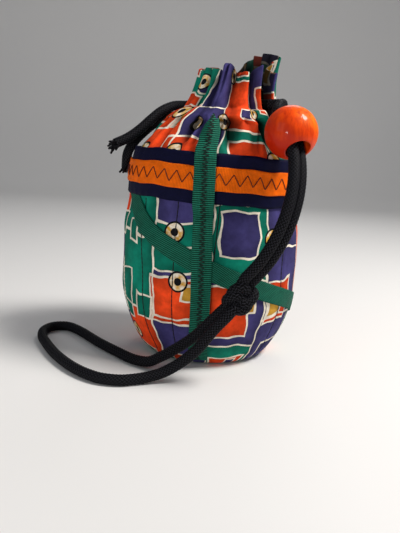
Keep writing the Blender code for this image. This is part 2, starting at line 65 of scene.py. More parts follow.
# The form of the body, as in the part's source
GAP = 0.0003
BODY_RADIUS = 0.0534
BASE_SEAM_RADIUS = 0.0334
CORNER_HEIGHT = 0.044
CORNER_SLACK = 0.40
WAIST_START = 0.076
WAIST_END = 0.096
WAIST_IN = 0.0027
SHOULDER_HEIGHT = 0.120
SHOULDER_TAPER = 0.0016
CLOTH = 0.0018
BASE_LIFT = 0.0006
BASE_THICKNESS = 0.0020
CASING_HEIGHT = 0.1475
CASING_HALF = 0.0055
NECK_RADIUS = 0.0285
COLLAR_HEIGHT = 0.027
COLLAR_RADIUS = 0.0242
COLLAR_CLOTH = 0.0016
COLLAR_LOW = 0.80
COLLAR_RISE = 0.40
COLLAR_PEAK_ANGLE = 128.0
COLLAR_LEAN = 0.21
LEAN_START = 0.100
NECK_SHIFT = 0.0072
PLEATS_PER_PANEL = 6
PLEAT_DEPTH = 0.0057
PLEAT_DRIFT = 0.24
SLIT_ANGLE = 50.0
SLIT_START = 0.139
SLIT_HALF_AT_CASING = 10.0
SLIT_HALF_AT_TOP = 20.0
FRONT_MIDDLE = SLIT_ANGLE - 90
BACK_MIDDLE = SLIT_ANGLE + 90
COLLAR_TOP = CASING_HEIGHT + COLLAR_HEIGHT

# Valleys of the shoulder: degrees at the casing and at the foot, the foot's height, and depth
GATHERS = (
    (-22.0, -31.0, 0.1215, 0.0050), (2.0, 7.0, 0.1205, 0.0062), (17.0, 20.0, 0.1300, 0.0040),
    (33.0, 38.0, 0.1225, 0.0054), (-44.0, -54.0, 0.1215, 0.0052), (-66.0, -78.0, 0.1225, 0.0050),
    (-90.0, -99.0, 0.1240, 0.0046), (66.0, 74.0, 0.1230, 0.0048), (90.0, 97.0, 0.1220, 0.0052),
    (114.0, 118.0, 0.1240, 0.0046), (137.0, 141.0, 0.1220, 0.0052), (160.0, 167.0, 0.1230, 0.0048),
    (184.0, 190.0, 0.1220, 0.0052), (208.0, 213.0, 0.1235, 0.0048))
GATHER_HALF_WIDTH = 0.0021

# Band and ribbons
BAND_BOTTOM = 0.0948
BAND_HEIGHT = 0.0270
BAND_TILT = 2.25
BAND_EASE = 0.0005
RIBBON_THICKNESS = 0.0006
LAYER = RIBBON_THICKNESS + GAP
FRONT_RIBBON_BOTTOM = 0.0040
FRONT_RIBBON_TOP = 0.1440
FRONT_RIBBON_X = -0.0043
FRONT_RIBBON_LEAN = 0.0008
FRONT_RIBBON_STRAY = 0.0026
FRONT_RIBBON_PINCH = 0.58
DIAGONAL_TOP = 0.0092
DIAGONAL_START_RANGE = (-120.0, 0.0)
DIAGONAL_END_RANGE = (0.0, 300.0)
DIAGONAL_TUCK = 0.0015
DIAGONAL_STEEP_AT = -72.0
DIAGONAL_STEEP_TURN = 39.0
DIAGONAL_STEEP_FALL = 0.030
DIAGONAL_FALL_PER_DEGREE = 0.000268

# Drawstring
CORD_EXIT_RADIUS = 0.0290
KNOT_CENTRE = Vector((0.0160, -0.0685, 0.0495))
BEAD_CENTRE = Vector((0.0384, -0.0505, 0.1344))
BEAD_TRAVEL_RADIUS = 0.0635
BEAD_DIRECTION = Vector((0.257, -0.641, -0.723)).normalized()
ARC_INWARD_HINT = Vector((-0.682, 0.410, -0.606))
ARC_BEFORE_BEAD = 0.014
ARC_AFTER_BEAD = 0.087
BRAID_SIDES = 60

# Where the cloth is stitched from band to base, in degrees round the body
STITCH_LINES = (-104.0, -76.0, -49.0, -22.0, 4.0, 52.0, 78.0, 104.0, 130.0, 156.0, 182.0, 208.0, 232.0)


class PouchSizes(PropertyGroup):
    """Sizes that a maker would change."""

    cord_diameter: FloatProperty(
        name="Cord diameter", description="Diameter of the braided drawstring",
        default=0.0058, min=0.001, max=0.01, unit="LENGTH")
    braid_yarns: IntProperty(
        name="Braid yarns", description="Yarns that wind each way round the cord",
        default=10, min=4, max=16)
    braid_pitch: FloatProperty(
        name="Braid pitch", description="Length in which a yarn goes once round the cord",
        default=0.0200, min=0.004, max=0.05, unit="LENGTH")
    bead_diameter: FloatProperty(
        name="Bead diameter", description="Diameter of the wooden bead",
        default=0.0280, min=0.01, max=0.05, unit="LENGTH")
    bead_bore: FloatProperty(
        name="Bead bore", description="Bore that both strands pass through",
        default=0.0129, min=0.002, max=0.03, unit="LENGTH")
    orange_width: FloatProperty(
        name="Orange ribbon width", description="Width of the ribbon on the band",
        default=0.0127, min=0.004, max=0.03, unit="LENGTH")
    green_width: FloatProperty(
        name="Green ribbon width", description="Width of the two green ribbons",
        default=0.0106, min=0.004, max=0.03, unit="LENGTH")
    rib_pitch: FloatProperty(
        name="Rib pitch", description="Distance between the ribs of the ribbons",
        default=0.00110, min=0.0004, max=0.004, unit="LENGTH")
    zigzag_pitch: FloatProperty(
        name="Zigzag pitch", description="Length of one zigzag of the band's stitching",
        default=0.0080, min=0.002, max=0.02, unit="LENGTH")
    zigzag_height: FloatProperty(
        name="Zigzag height", description="Width that the zigzag stitching covers",
        default=0.0062, min=0.001, max=0.02, unit="LENGTH")
    thread_diameter: FloatProperty(
        name="Thread diameter", description="Diameter of the sewing thread",
        default=0.00050, min=0.0001, max=0.002, unit="LENGTH")


class PouchColours(PropertyGroup):
    """Colours that a maker would change."""

    teal: FloatVectorProperty(
        name="Teal", description="Ground of the printed cotton", subtype="COLOR",
        default=(0.002, 0.165, 0.108), min=0.0, max=1.0)
    vermilion: FloatVectorProperty(
        name="Vermilion", description="Large blocks of the print", subtype="COLOR",
        default=(0.740, 0.058, 0.010), min=0.0, max=1.0)
    violet: FloatVectorProperty(
        name="Violet", description="Dark blocks of the print", subtype="COLOR",
        default=(0.042, 0.036, 0.130), min=0.0, max=1.0)
    gold: FloatVectorProperty(
        name="Gold", description="Small blocks and rings of the print", subtype="COLOR",
        default=(0.680, 0.360, 0.045), min=0.0, max=1.0)
    cream: FloatVectorProperty(
        name="Cream", description="Outlines of the print", subtype="COLOR",
        default=(0.800, 0.730, 0.600), min=0.0, max=1.0)
    navy: FloatVectorProperty(
        name="Navy", description="The dark band", subtype="COLOR",
        default=(0.0035, 0.0040, 0.0300), min=0.0, max=1.0)
    orange: FloatVectorProperty(
        name="Orange", description="The ribbon on the band", subtype="COLOR",
        default=(1.000, 0.160, 0.002), min=0.0, max=1.0)
    green: FloatVectorProperty(
        name="Green", description="The upright and slanting ribbons", subtype="COLOR",
        default=(0.003, 0.068, 0.042), min=0.0, max=1.0)
    black: FloatVectorProperty(
        name="Black", description="The braided cord", subtype="COLOR",
        default=(0.0022, 0.0022, 0.0028), min=0.0, max=1.0)
    stain: FloatVectorProperty(
        name="Stain", description="The stained wood of the bead", subtype="COLOR",
        default=(0.780, 0.064, 0.001), min=0.0, max=1.0)


# The form of the pouch, for arrays of angles and heights

def ease(low, high, value):
    t = np.clip((value - low) / (high - low), 0.0, 1.0)
    return t * t * (3 - 2 * t)


def axis_shift(height):
    span = CASING_HEIGHT - LEAN_START
    below = np.clip((height - LEAN_START) / span, 0.0, 1.0)
    return NECK_SHIFT * below ** 2 + COLLAR_LEAN * np.maximum(0.0, height - CASING_HEIGHT)


def body_radius(height):
    rise = 1 - np.clip(height / CORNER_HEIGHT, 0.0, 1.0)
    turned_in = (1 - CORNER_SLACK) * (1 - np.sqrt(1 - rise ** 2)) + CORNER_SLACK * rise ** 1.7
    corner = (BODY_RADIUS - BASE_SEAM_RADIUS) * turned_in
    waist = WAIST_IN * ease(WAIST_START, WAIST_END, height)
    taper = np.maximum(0.0, height - WAIST_END) / (SHOULDER_HEIGHT - WAIST_END)
    return BODY_RADIUS - corner - waist - SHOULDER_TAPER * taper


def crest_radius(height):
    t = np.clip((height - SHOULDER_HEIGHT) / (CASING_HEIGHT - SHOULDER_HEIGHT), 0.0, 1.0)
    start = body_radius(SHOULDER_HEIGHT)
    shoulder = NECK_RADIUS + (start - NECK_RADIUS) * (1 - t + np.sqrt(1 - t ** 2)) / 2
    u = np.clip((height - CASING_HEIGHT) / COLLAR_HEIGHT, 0.0, 1.0)
    collar = COLLAR_RADIUS + (NECK_RADIUS - COLLAR_RADIUS) * (1 - u) ** 3
    above = np.where(height <= CASING_HEIGHT, shoulder, collar)
    return np.where(height <= SHOULDER_HEIGHT, body_radius(height), above)


def pleat_depth(height):
    t = np.clip((height - SHOULDER_HEIGHT) / (CASING_HEIGHT - SHOULDER_HEIGHT), 0.0, 1.0)
    return PLEAT_DEPTH * t ** 0.7


def slit_half(height):
    seam = np.degrees(GAP / 2 / crest_radius(height))
    opening = SLIT_HALF_AT_CASING * ease(SLIT_START, CASING_HEIGHT - CASING_HALF, height)
    spread = (SLIT_HALF_AT_TOP - SLIT_HALF_AT_CASING) * np.maximum(0.0, height - CASING_HEIGHT)
    return seam + opening + spread / COLLAR_HEIGHT


def panel_share(angle, height):
    """How far across its panel a place lies, and 1 on the back panel."""
    off = (angle - FRONT_MIDDLE + 180) % 360 - 180
    back = np.abs(off) > 90
    off = np.where(back, (angle - BACK_MIDDLE + 180) % 360 - 180, off)
    return np.clip(off / (180 - 2 * slit_half(height)) + 0.5, 0.0, 1.0), back * 1.0


def fold(share):
    """0 on a crest and up to 1 in a valley, which is narrower than the crests."""
    drift = PLEAT_DRIFT * np.sin(4 * np.pi * share) * np.sin(np.pi * share)
    wave = 0.5 - 0.5 * np.cos(2 * np.pi * (PLEATS_PER_PANEL * share + drift))
    return wave ** 1.5 * (0.86 + 0.14 * np.cos(6 * np.pi * share))


def creases(share, back, height):
    """Sharp creases that run down from the casing, each to its own height, and up the collar."""
    total = 0.0
    for k in range(17):
        middle = (k + 0.5 + 0.32 * np.sin(5.3 * k + 1.7 * back)) / 17
        foot = SHOULDER_HEIGHT + 0.001 + 0.006 * np.sin(2.9 * k + 2.0 * back)
        lean = 0.020 * np.sin(3.7 * k + back) * (CASING_HEIGHT - height) / 0.02
        width = 0.0120 + 0.0060 * np.sin(1.9 * k) ** 2
        depth = 0.0034 + 0.0014 * np.sin(7.1 * k + 3 * back)
        valley = np.exp(-((share - middle - lean) / width) ** 2)
        total = total - depth * valley * ease(foot, CASING_HEIGHT - 0.016, height)
    held = ease(CASING_HEIGHT - 0.009, CASING_HEIGHT - CASING_HALF, height)
    held = 1 - 0.92 * held * (1 - 0.8 * ease(CASING_HEIGHT + CASING_HALF, COLLAR_TOP, height))
    return total * held


def gathers(angle, height):
    """Deep valleys between the puffs of the shoulder, each from the casing to its own foot."""
    total = 0.0
    for at_casing, at_foot, foot, depth in GATHERS:
        down = (CASING_HEIGHT - height) / (CASING_HEIGHT - foot)
        line = at_casing + (at_foot - at_casing) * down
        off = np.radians((angle - line + 180) % 360 - 180) * crest_radius(height)
        half = GATHER_HALF_WIDTH * (1.4 - 0.4 * down)
        total = total + depth * np.exp(-(off / half) ** 2) * ease(foot, foot + 0.012, height)
    return total * (1 - 0.8 * ease(CASING_HEIGHT - 0.008, CASING_HEIGHT - CASING_HALF, height)) * (
        1 - ease(CASING_HEIGHT, CASING_HEIGHT + CASING_HALF, height))


def ripple(angle, height):
    """Slack of the body cloth: broad soft dents and short creases near the band."""
    a = np.radians(angle)
    broad = (np.sin(3 * a + 60 * height) * np.sin(95 * height + 1.3)
             + 0.7 * np.sin(5 * a - 120 * height + 2.0) + 0.5 * np.sin(8 * a + 70 * height + 0.6))
    fine = np.sin(23 * a + 40 * height) * np.sin(17 * a - 90 * height + 1.0)
    quiet = ease(0.0, 0.012, height)
    return quiet * (0.00042 * broad + 0.00012 * fine)


def grooves(angle, height):
    """The cloth is drawn in along each line of stitching."""
    total = 0.0
    for line in STITCH_LINES:
        off = (angle - stitch_angle(line, height) + 180) % 360 - 180
        total = total + np.exp(-(off / 1.5) ** 2)
    return 0.0007 * total * ease(0.004, 0.012, height) * (1 - ease(0.093, 0.099, height))


def stitch_angle(line, height):
    """A stitched line leans a little on its way down."""
    return line - 7.0 * (1 - height / 0.095) * np.sin(np.radians(line * 2.3 + 60))


def outer_radius(angle, height):
    share, back = panel_share(angle, height)
    deeper = 1 + 0.35 * ease(CASING_HEIGHT + CASING_HALF, COLLAR_TOP, height)
    deeper = deeper + 0.45 * (1 - ease(CASING_HEIGHT - 0.009, CASING_HEIGHT - CASING_HALF, height))
    upright = np.where(height > CASING_HEIGHT, 0.0012 - 0.0034 * ease(
        CASING_HEIGHT, COLLAR_TOP, height), 0.0) * collar_peak(angle)
    radius = crest_radius(height) - pleat_depth(height) * fold(share) * deeper + upright
    radius = radius + creases(share, back, height) - gathers(angle, height)
    return radius + ripple(angle, height) - grooves(angle, height)


def hollow(angle, height):
    """How deep in a fold a place lies, from 0 on a crest to 1; the cloth's colour is darkened with it
    as painted shade.
    """
    sunk = crest_radius(height) - outer_radius(angle, height)
    return np.clip(sunk / (1.2 * PLEAT_DEPTH), 0.0, 1.0)


def collar_peak(angle):
    """1 where the collar stands highest, at the back right, and 0 far from there."""
    off = np.abs((angle - COLLAR_PEAK_ANGLE + 180) % 360 - 180)
    return 1 - ease(28.0, 62.0, off)


def surface_level(angle, height):
    """True height of a place on the collar: each pleat's own, and highest behind the bead."""
    share, back = panel_share(angle, height)
    above = np.maximum(0.0, height - CASING_HEIGHT)
    peak = collar_peak(angle)
    dip = 0.12 * fold(share) * (1 - back) * ease(0.3, 0.7, share)
    uneven = 0.05 * np.sin(2 * np.pi * PLEATS_PER_PANEL * share * 0.5 + 1.1 + 2 * back)
    uneven = uneven + 0.05 * np.sin(13.0 * share + 4 * back) - dip
    return height + above * (COLLAR_LOW - 1 + COLLAR_RISE * peak + uneven * (1 - 0.7 * peak))


def place(angle, radius, height):
    turn = np.radians(angle)
    x = axis_shift(height) + radius * np.sin(turn)
    return np.stack([x, -radius * np.cos(turn), height + 0 * x], axis=-1)


def on_cloth(angle, height, lift):
    """Points at a distance outside the cloth."""
    return place(angle, outer_radius(angle, height) + lift, surface_level(angle, height))


def angle_at_x(x, height):
    return np.degrees(np.arcsin((x - axis_shift(height)) / crest_radius(height)))


# Meshes

def mesh_piece(name, points, faces, uv=None, slot=None, material=None):
    """A mesh object that rides on the pouch; uv has a pair for each corner of each face."""
    mesh = bpy.data.meshes.new(name)
    mesh.from_pydata([tuple(p) for p in points], [], [tuple(f) for f in faces])
    if uv is not None:
        layer = mesh.uv_layers.new(name="cloth")
        layer.data.foreach_set("uv", np.asarray(uv, dtype=np.float32).ravel())
    mesh.shade_smooth()
    mesh.validate()
    item = bpy.data.objects.new(name, mesh)
    bpy.context.scene.collection.objects.link(item)
    if material:
        mesh.materials.append(material)
    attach(item, "root")
    return item


def shell(outer, inner, u, v, closed=False):
    """Points, faces and corner coordinates of a cloth between two grids of points."""
    rows, columns = outer.shape[:2]
    points = np.concatenate([outer.reshape(-1, 3), inner.reshape(-1, 3)])
    offset = rows * columns
    faces = []
    corners = []

    def add(*marks):
        faces.append([side * offset + i * columns + j % columns for side, i, j in marks])
        corners.extend((u[i][min(j, len(u[i]) - 1)], v[i][min(j, len(v[i]) - 1)])
                       for _, i, j in marks)

    last = columns if closed else columns - 1
    for i in range(rows - 1):
        for j in range(last):
            add((0, i, j), (0, i, j + 1), (0, i + 1, j + 1), (0, i + 1, j))
            add((1, i, j), (1, i + 1, j), (1, i + 1, j + 1), (1, i, j + 1))
    for j in range(last):
        add((0, 0, j + 1), (0, 0, j), (1, 0, j), (1, 0, j + 1))
        add((0, rows - 1, j), (0, rows - 1, j + 1), (1, rows - 1, j + 1), (1, rows - 1, j))
    if not closed:
        for i in range(rows - 1):
            add((0, i, 0), (0, i + 1, 0), (1, i + 1, 0), (1, i, 0))
            add((0, i + 1, columns - 1), (0, i, columns - 1), (1, i, columns - 1),
                (1, i + 1, columns - 1))
    return points, faces, corners


def smooth_route(points, step):
    """Evenly spaced points on a smooth curve through the given ones."""
    fine = []
    ends = [points[0] * 2 - points[1]] + list(points) + [points[-1] * 2 - points[-2]]
    for before, start, end, after in zip(ends, ends[1:], ends[2:], ends[3:]):
        for k in range(24):
            t = k / 24
            fine.append(0.5 * (2 * start + (end - before) * t
                               + (2 * before - 5 * start + 4 * end - after) * t ** 2
                               + (3 * start - before - 3 * end + after) * t ** 3))
    fine = np.array([tuple(point) for point in fine + [points[-1]]])
    travelled = np.concatenate([[0.0], np.cumsum(np.linalg.norm(np.diff(fine, axis=0), axis=1))])
    wanted = np.linspace(0.0, travelled[-1], max(2, int(np.ceil(travelled[-1] / step))) + 1)
    return np.stack([np.interp(wanted, travelled, fine[:, k]) for k in range(3)], axis=-1)


def route_length(route):
    return float(np.linalg.norm(np.diff(route, axis=0), axis=1).sum())


def cross_frames(route):
    """Two directions square to the route at each point, turned as little as possible."""
    along = np.gradient(route, axis=0)
    along /= np.linalg.norm(along, axis=1)[:, None]
    first = np.cross(along[0], (0.31, 0.17, 0.93))
    sides = [first / np.linalg.norm(first)]
    for direction in along[1:]:
        side = sides[-1] - direction * sides[-1].dot(direction)
        sides.append(side / np.linalg.norm(side))
    sides = np.array(sides)
    return sides, np.cross(along, sides)


def tube(route, radius, sides, relief=None):
    """A closed tube along a route; radius may differ from point to point."""
    first, second = cross_frames(route)
    turn = np.arange(sides) * 2 * np.pi / sides
    travelled = np.concatenate([[0.0], np.cumsum(np.linalg.norm(np.diff(route, axis=0), axis=1))])
    reach = np.broadcast_to(np.asarray(radius, dtype=float), (len(route),))[:, None]
    reach = reach + (relief(turn[None, :], travelled[:, None]) if relief else 0 * turn)
    ring = (first[:, None] * np.cos(turn)[None, :, None]
            + second[:, None] * np.sin(turn)[None, :, None])
    points = (route[:, None] + ring * reach[..., None]).reshape(-1, 3)
    faces = []
    corners = []
    for i in range(len(route) - 1):
        for j in range(sides):
            k = (j + 1) % sides
            faces.append((i * sides + j, i * sides + k, (i + 1) * sides + k, (i + 1) * sides + j))
            left, right = j / sides, (j + 1) / sides
            corners += [(left, travelled[i]), (right, travelled[i]),
                        (right, travelled[i + 1]), (left, travelled[i + 1])]
    start = len(points)
    points = np.concatenate([points, route[:1], route[-1:]])
    tail = (len(route) - 1) * sides
    for j in range(sides):
        k = (j + 1) % sides
        faces.append((start, k, j))
        corners += [(0.5, travelled[0])] * 3
        faces.append((start + 1, tail + j, tail + k))
        corners += [(0.5, travelled[-1])] * 3
    return points, faces, corners


def joined(parts):
    """Several sets of points, faces and corners as one."""
    points, faces, corners = [], [], []
    count = 0
    for some, ring, marks in parts:
        points.append(some)
        faces += [[k + count for k in face] for face in ring]
        corners += marks
        count += len(some)
    return np.concatenate(points), faces, corners


# Materials

class Recipe:
    """A node material, with short calls for its sums."""

    def __init__(self, name, roughness, **settings):
        self.material = bpy.data.materials.new(name)
        self.material.use_nodes = True
        self.tree = self.material.node_tree
        self.shader = self.tree.nodes["Principled BSDF"]
        self.shader.inputs["Roughness"].default_value = roughness
        for socket, value in settings.items():
            self.shader.inputs[socket.replace("_", " ")].default_value = value

    def node(self, kind, inputs=(), **settings):
        made = self.tree.nodes.new(kind)
        for key, value in settings.items():
            setattr(made, key, value)
        for key, value in dict(inputs).items():
            if isinstance(value, bpy.types.NodeSocket):
                self.tree.links.new(value, made.inputs[key])
            else:
                made.inputs[key].default_value = value
        return made

    def sum(self, operation, *values):
        return self.node("ShaderNodeMath", dict(enumerate(values)), operation=operation).outputs[0]

    def vector_sum(self, operation, *values):
        made = self.node("ShaderNodeVectorMath", dict(enumerate(values)), operation=operation)
        return made.outputs[0]

    def blend(self, share, low, high, mode="MIX"):
        def full(colour):
            return colour if isinstance(colour, bpy.types.NodeSocket) else (*colour[:3], 1.0)
        made = self.node("ShaderNodeMix", {0: share, 6: full(low), 7: full(high)},
                         data_type="RGBA", blend_type=mode)
        return made.outputs[2]

    def uv(self):
        return self.node("ShaderNodeTexCoord").outputs["UV"]

    def stretched(self, vector, scale):
        return self.vector_sum("MULTIPLY", vector, scale)

    def noise(self, vector, scale, detail=2.0, roughness=0.5):
        made = self.node("ShaderNodeTexNoise", {
            "Vector": vector, "Scale": scale, "Detail": detail, "Roughness": roughness})
        return made.outputs["Fac"]

    def range(self, value, low, high, to_low=0.0, to_high=1.0):
        made = self.node("ShaderNodeMapRange", {
            "Value": value, "From Min": low, "From Max": high, "To Min": to_low, "To Max": to_high})
        return made.outputs["Result"]

    def colour(self, socket):
        self.tree.links.new(socket, self.shader.inputs["Base Color"])

    def shaded(self, paint, shade):
        """A colour times a grey value."""
        grey = self.node("ShaderNodeCombineXYZ", {0: shade, 1: shade, 2: shade}).outputs[0]
        return self.blend(1.0, paint, grey, "MULTIPLY")

    def bump(self, height, distance, strength=1.0):
        made = self.node("ShaderNodeBump", {
            "Height": height, "Distance": distance, "Strength": strength})
        self.tree.links.new(made.outputs["Normal"], self.shader.inputs["Normal"])

    def weave(self, uv, pitch):
        """Height of a plain weave with threads at a pitch."""
        split = self.node("ShaderNodeSeparateXYZ", {0: self.stretched(uv, (np.pi / pitch,) * 3)})
        across = self.sum("SINE", split.outputs[0])
        along = self.sum("SINE", split.outputs[1])
        return self.sum("MULTIPLY", across, along)


# Print: the ground's blocks, then two layers of blocks on it, each with its cell, offset, share of
# cells used, half sizes from and to, and its colours with the share up to which each is used
GROUND_CELL = (0.034, 0.041)
GROUND_COLOURS = (("teal", 0.52), ("violet", 0.74), ("vermilion", 1.0))
LARGE_BLOCKS = ((0.037, 0.039), (0.13, 0.47), 0.80, (0.25, 0.39),
                (("vermilion", 0.60), ("violet", 0.76), ("teal", 1.0)))
SMALL_BLOCKS = ((0.031, 0.034), (0.91, 0.29), 0.50, (0.12, 0.22),
                (("gold", 0.45), ("violet", 0.62), ("teal", 0.85), ("vermilion", 1.0)))
OUTLINE = 0.00062
DOT_CELL = 0.031
DOT_RIM = 0.0060
DOT_RING = 0.0049
DOT_CENTRE = 0.0022


def chances(recipe, index, seed):
    """Three chances from 0 to 1 for each cell."""
    moved = recipe.vector_sum("ADD", index, (seed, 0.5 * seed, 0.0))
    made = recipe.node("ShaderNodeTexWhiteNoise", {"Vector": moved}, noise_dimensions="2D")
    return recipe.node("ShaderNodeSeparateColor", {0: made.outputs["Color"]}).outputs


def chosen_colour(recipe, chance, choices, colours):
    picked = colours[choices[-1][0]]
    for name, limit in reversed(choices[:-1]):
        picked = recipe.blend(recipe.sum("LESS_THAN", chance, limit), picked, colours[name])
    return picked


def pooled(recipe, paint, edge):
    """Dye is darker where it pools against an outline, and paler in the middle of a block."""
    shade = recipe.range(edge, 0.0, 0.0100, 0.66, 1.30)
    return recipe.shaded(paint, shade)


def print_ground(recipe, uv, colours):
    """Staggered columns of blocks that cover the cloth: their paint, and their outlines."""
    scaled = recipe.stretched(uv, (1 / GROUND_CELL[0], 1 / GROUND_CELL[1], 0.0))
    split = recipe.node("ShaderNodeSeparateXYZ", {0: scaled})
    column = recipe.sum("FLOOR", split.outputs[0])
    shift = recipe.node("ShaderNodeTexWhiteNoise", {"W": column}, noise_dimensions="1D")
    along = recipe.sum("ADD", split.outputs[1], shift.outputs["Value"])
    row = recipe.sum("FLOOR", along)
    edges = []
    for value, whole, size in ((split.outputs[0], column, GROUND_CELL[0]),
                               (along, row, GROUND_CELL[1])):
        off = recipe.sum("ABSOLUTE", recipe.sum("SUBTRACT", recipe.sum(
            "SUBTRACT", value, whole), 0.5))
        edges.append(recipe.sum("MULTIPLY", recipe.sum("SUBTRACT", 0.5, off), size))
    edge = recipe.sum("MINIMUM", *edges)
    index = recipe.node("ShaderNodeCombineXYZ", {0: column, 1: row}).outputs[0]
    picked = chosen_colour(recipe, chances(recipe, index, 21.0)[0], GROUND_COLOURS, colours)
    return pooled(recipe, picked, edge), recipe.sum("LESS_THAN", edge, OUTLINE)


def print_blocks(recipe, uv, layer, paint, colours):
    """Blocks of one layer over the paint: the new paint, and the blocks' outlines."""
    cell, offset, used, half, choices = layer
    scaled = recipe.vector_sum("ADD", recipe.stretched(uv, (1 / cell[0], 1 / cell[1], 0.0)),
                               (*offset, 0.0))
    index = recipe.vector_sum("FLOOR", scaled)
    local = recipe.node("ShaderNodeSeparateXYZ", {0: recipe.vector_sum("SUBTRACT", scaled, index)})
    marks = chances(recipe, index, 37.0 * offset[0])
    sizes = chances(recipe, index, 61.0 * offset[0])
    edges = []
    for axis in range(2):
        reach = recipe.range(sizes[axis], 0.0, 1.0, half[0], half[1])
        slack = recipe.sum("SUBTRACT", 0.48, reach)
        shift = recipe.sum("MULTIPLY", slack, recipe.range(marks[axis], 0, 1, -1.0, 1.0))
        off = recipe.sum("SUBTRACT", recipe.sum("SUBTRACT", local.outputs[axis], 0.5), shift)
        edges.append(recipe.sum("MULTIPLY", cell[axis], recipe.sum(
            "SUBTRACT", reach, recipe.sum("ABSOLUTE", off))))
    edge = recipe.sum("MINIMUM", *edges)
    present = recipe.sum("LESS_THAN", marks[2], used)
    inside = recipe.sum("MULTIPLY", present, recipe.sum("GREATER_THAN", edge, 0.0))
    picked = chosen_colour(recipe, sizes[2], choices, colours)
    paint = recipe.blend(inside, paint, pooled(recipe, picked, edge))
    line = recipe.sum("LESS_THAN", recipe.sum("ABSOLUTE", edge), OUTLINE)
    return paint, recipe.sum("MULTIPLY", present, line)


def print_dots(recipe, uv, paint, colours):
    """Ringed dots here and there."""
    scaled = recipe.vector_sum("ADD", recipe.stretched(uv, (1 / DOT_CELL,) * 3), (0.27, 0.68, 0.0))
    index = recipe.vector_sum("FLOOR", scaled)
    marks = chances(recipe, index, 0.0)
    local = recipe.vector_sum("SUBTRACT", recipe.vector_sum("SUBTRACT", scaled, index),
                              recipe.node("ShaderNodeCombineXYZ", {
                                  axis: recipe.range(marks[axis], 0, 1, 0.25, 0.75)
                                  for axis in range(2)}).outputs[0])
    flat = recipe.vector_sum("MULTIPLY", local, (DOT_CELL, DOT_CELL, 0.0))
    far = recipe.node("ShaderNodeVectorMath", {0: flat}, operation="LENGTH").outputs["Value"]
    present = recipe.sum("LESS_THAN", marks[2], 0.58)
    warm = recipe.range(recipe.noise(uv, 260.0), 0.4, 0.6)
    ring = recipe.blend(warm, colours["gold"], colours["cream"])
    for reach, colour in ((DOT_RIM, colours["ink"]), (DOT_RING, ring), (DOT_CENTRE, colours["ink"])):
        inside = recipe.sum("MULTIPLY", present, recipe.sum("LESS_THAN", far, reach))
        paint = recipe.blend(inside, paint, colour)
    return paint


def printed_cotton(name, strength, bleached):
    """Painted blocks with pale outlines and ringed dots, on a fine plain weave."""
    chosen = bpy.context.scene.pouch_colours
    colours = {key: tuple(getattr(chosen, key))
               for key in ("teal", "vermilion", "violet", "gold", "cream")}
    colours["ink"] = (0.006, 0.006, 0.008)
    recipe = Recipe(name, 0.80, Specular_IOR_Level=0.10)
    flat = recipe.uv()
    wobble = recipe.node("ShaderNodeTexNoise", {"Vector": flat, "Scale": 60.0, "Detail": 1.5})
    drift = recipe.vector_sum("MULTIPLY", recipe.vector_sum(
        "SUBTRACT", wobble.outputs["Color"], (0.5, 0.5, 0.5)), (0.0085, 0.0085, 0.0))
    uv = recipe.vector_sum("ADD", flat, drift)
    paint, ground_lines = print_ground(recipe, uv, colours)
    paint, block_lines = print_blocks(recipe, uv, LARGE_BLOCKS, paint, colours)
    lines = recipe.sum("MAXIMUM", ground_lines, block_lines)
    paint = recipe.blend(lines, paint, colours["cream"])
    paint, small_lines = print_blocks(recipe, uv, SMALL_BLOCKS, paint, colours)
    paint = recipe.blend(small_lines, paint, colours["cream"])
    paint = print_dots(recipe, flat, paint, colours)
    paint = recipe.blend(bleached, paint, (0.30, 0.26, 0.24))
    wash = recipe.range(recipe.noise(flat, 130.0, 4.0, 0.6), 0.3, 0.7, 0.70 * strength,
                        1.22 * strength)
    # Painted shade in the folds: the deeper a place lies in a fold, the darker its colour, down to
    # 0.36, on top of the print's random wash.
    folded = recipe.node("ShaderNodeAttribute", attribute_name="hollow").outputs["Fac"]
    tone_and_painted_shade = recipe.sum("MULTIPLY", wash, recipe.range(folded, 0.30, 1.0, 1.0, 0.36))
    recipe.colour(recipe.shaded(paint, tone_and_painted_shade))
    recipe.bump(recipe.weave(flat, 0.00042), 0.00006, 0.6)
    return recipe.material


def plain_cotton():
    recipe = Recipe("plain_cotton", 0.88, Specular_IOR_Level=0.15)
    uv = recipe.uv()
    recipe.colour(recipe.blend(recipe.noise(uv, 160.0), (0.020, 0.022, 0.060),
                               (0.034, 0.036, 0.085)))
    recipe.bump(recipe.weave(uv, 0.00050), 0.00008, 0.7)
    return recipe.material


def ribbed_ribbon(name, colour, valley, pitch, across, crest):
    """Ribbed ribbon: ribs lie across its length; their crowns are painted in the light colour as a
    painted highlight and the valleys darker as painted shade.
    """
    recipe = Recipe(name, 0.62, Specular_IOR_Level=0.08)
    uv = recipe.uv()
    split = recipe.node("ShaderNodeSeparateXYZ", {0: uv})
    rib = recipe.sum("ABSOLUTE", recipe.sum("SINE", recipe.sum(
        "MULTIPLY", split.outputs[0], np.pi / pitch)))
    thread = recipe.sum("ABSOLUTE", recipe.sum("SINE", recipe.sum(
        "MULTIPLY", split.outputs[1], np.pi / across)))
    crown = recipe.sum("MULTIPLY", rib, recipe.range(thread, 0.0, 1.0, 0.75, 1.0))
    shade = recipe.range(crown, crest, 1.0)
    tone_and_painted_shade = recipe.range(recipe.noise(uv, 220.0, 3.0), 0.3, 0.7, 0.82, 1.12)
    # Painted highlight on the crowns and painted shade in the valleys between the ribs.
    recipe.colour(recipe.shaded(recipe.blend(shade, valley, colour), tone_and_painted_shade))
    recipe.bump(crown, pitch * 0.22, 0.9)
    return recipe.material


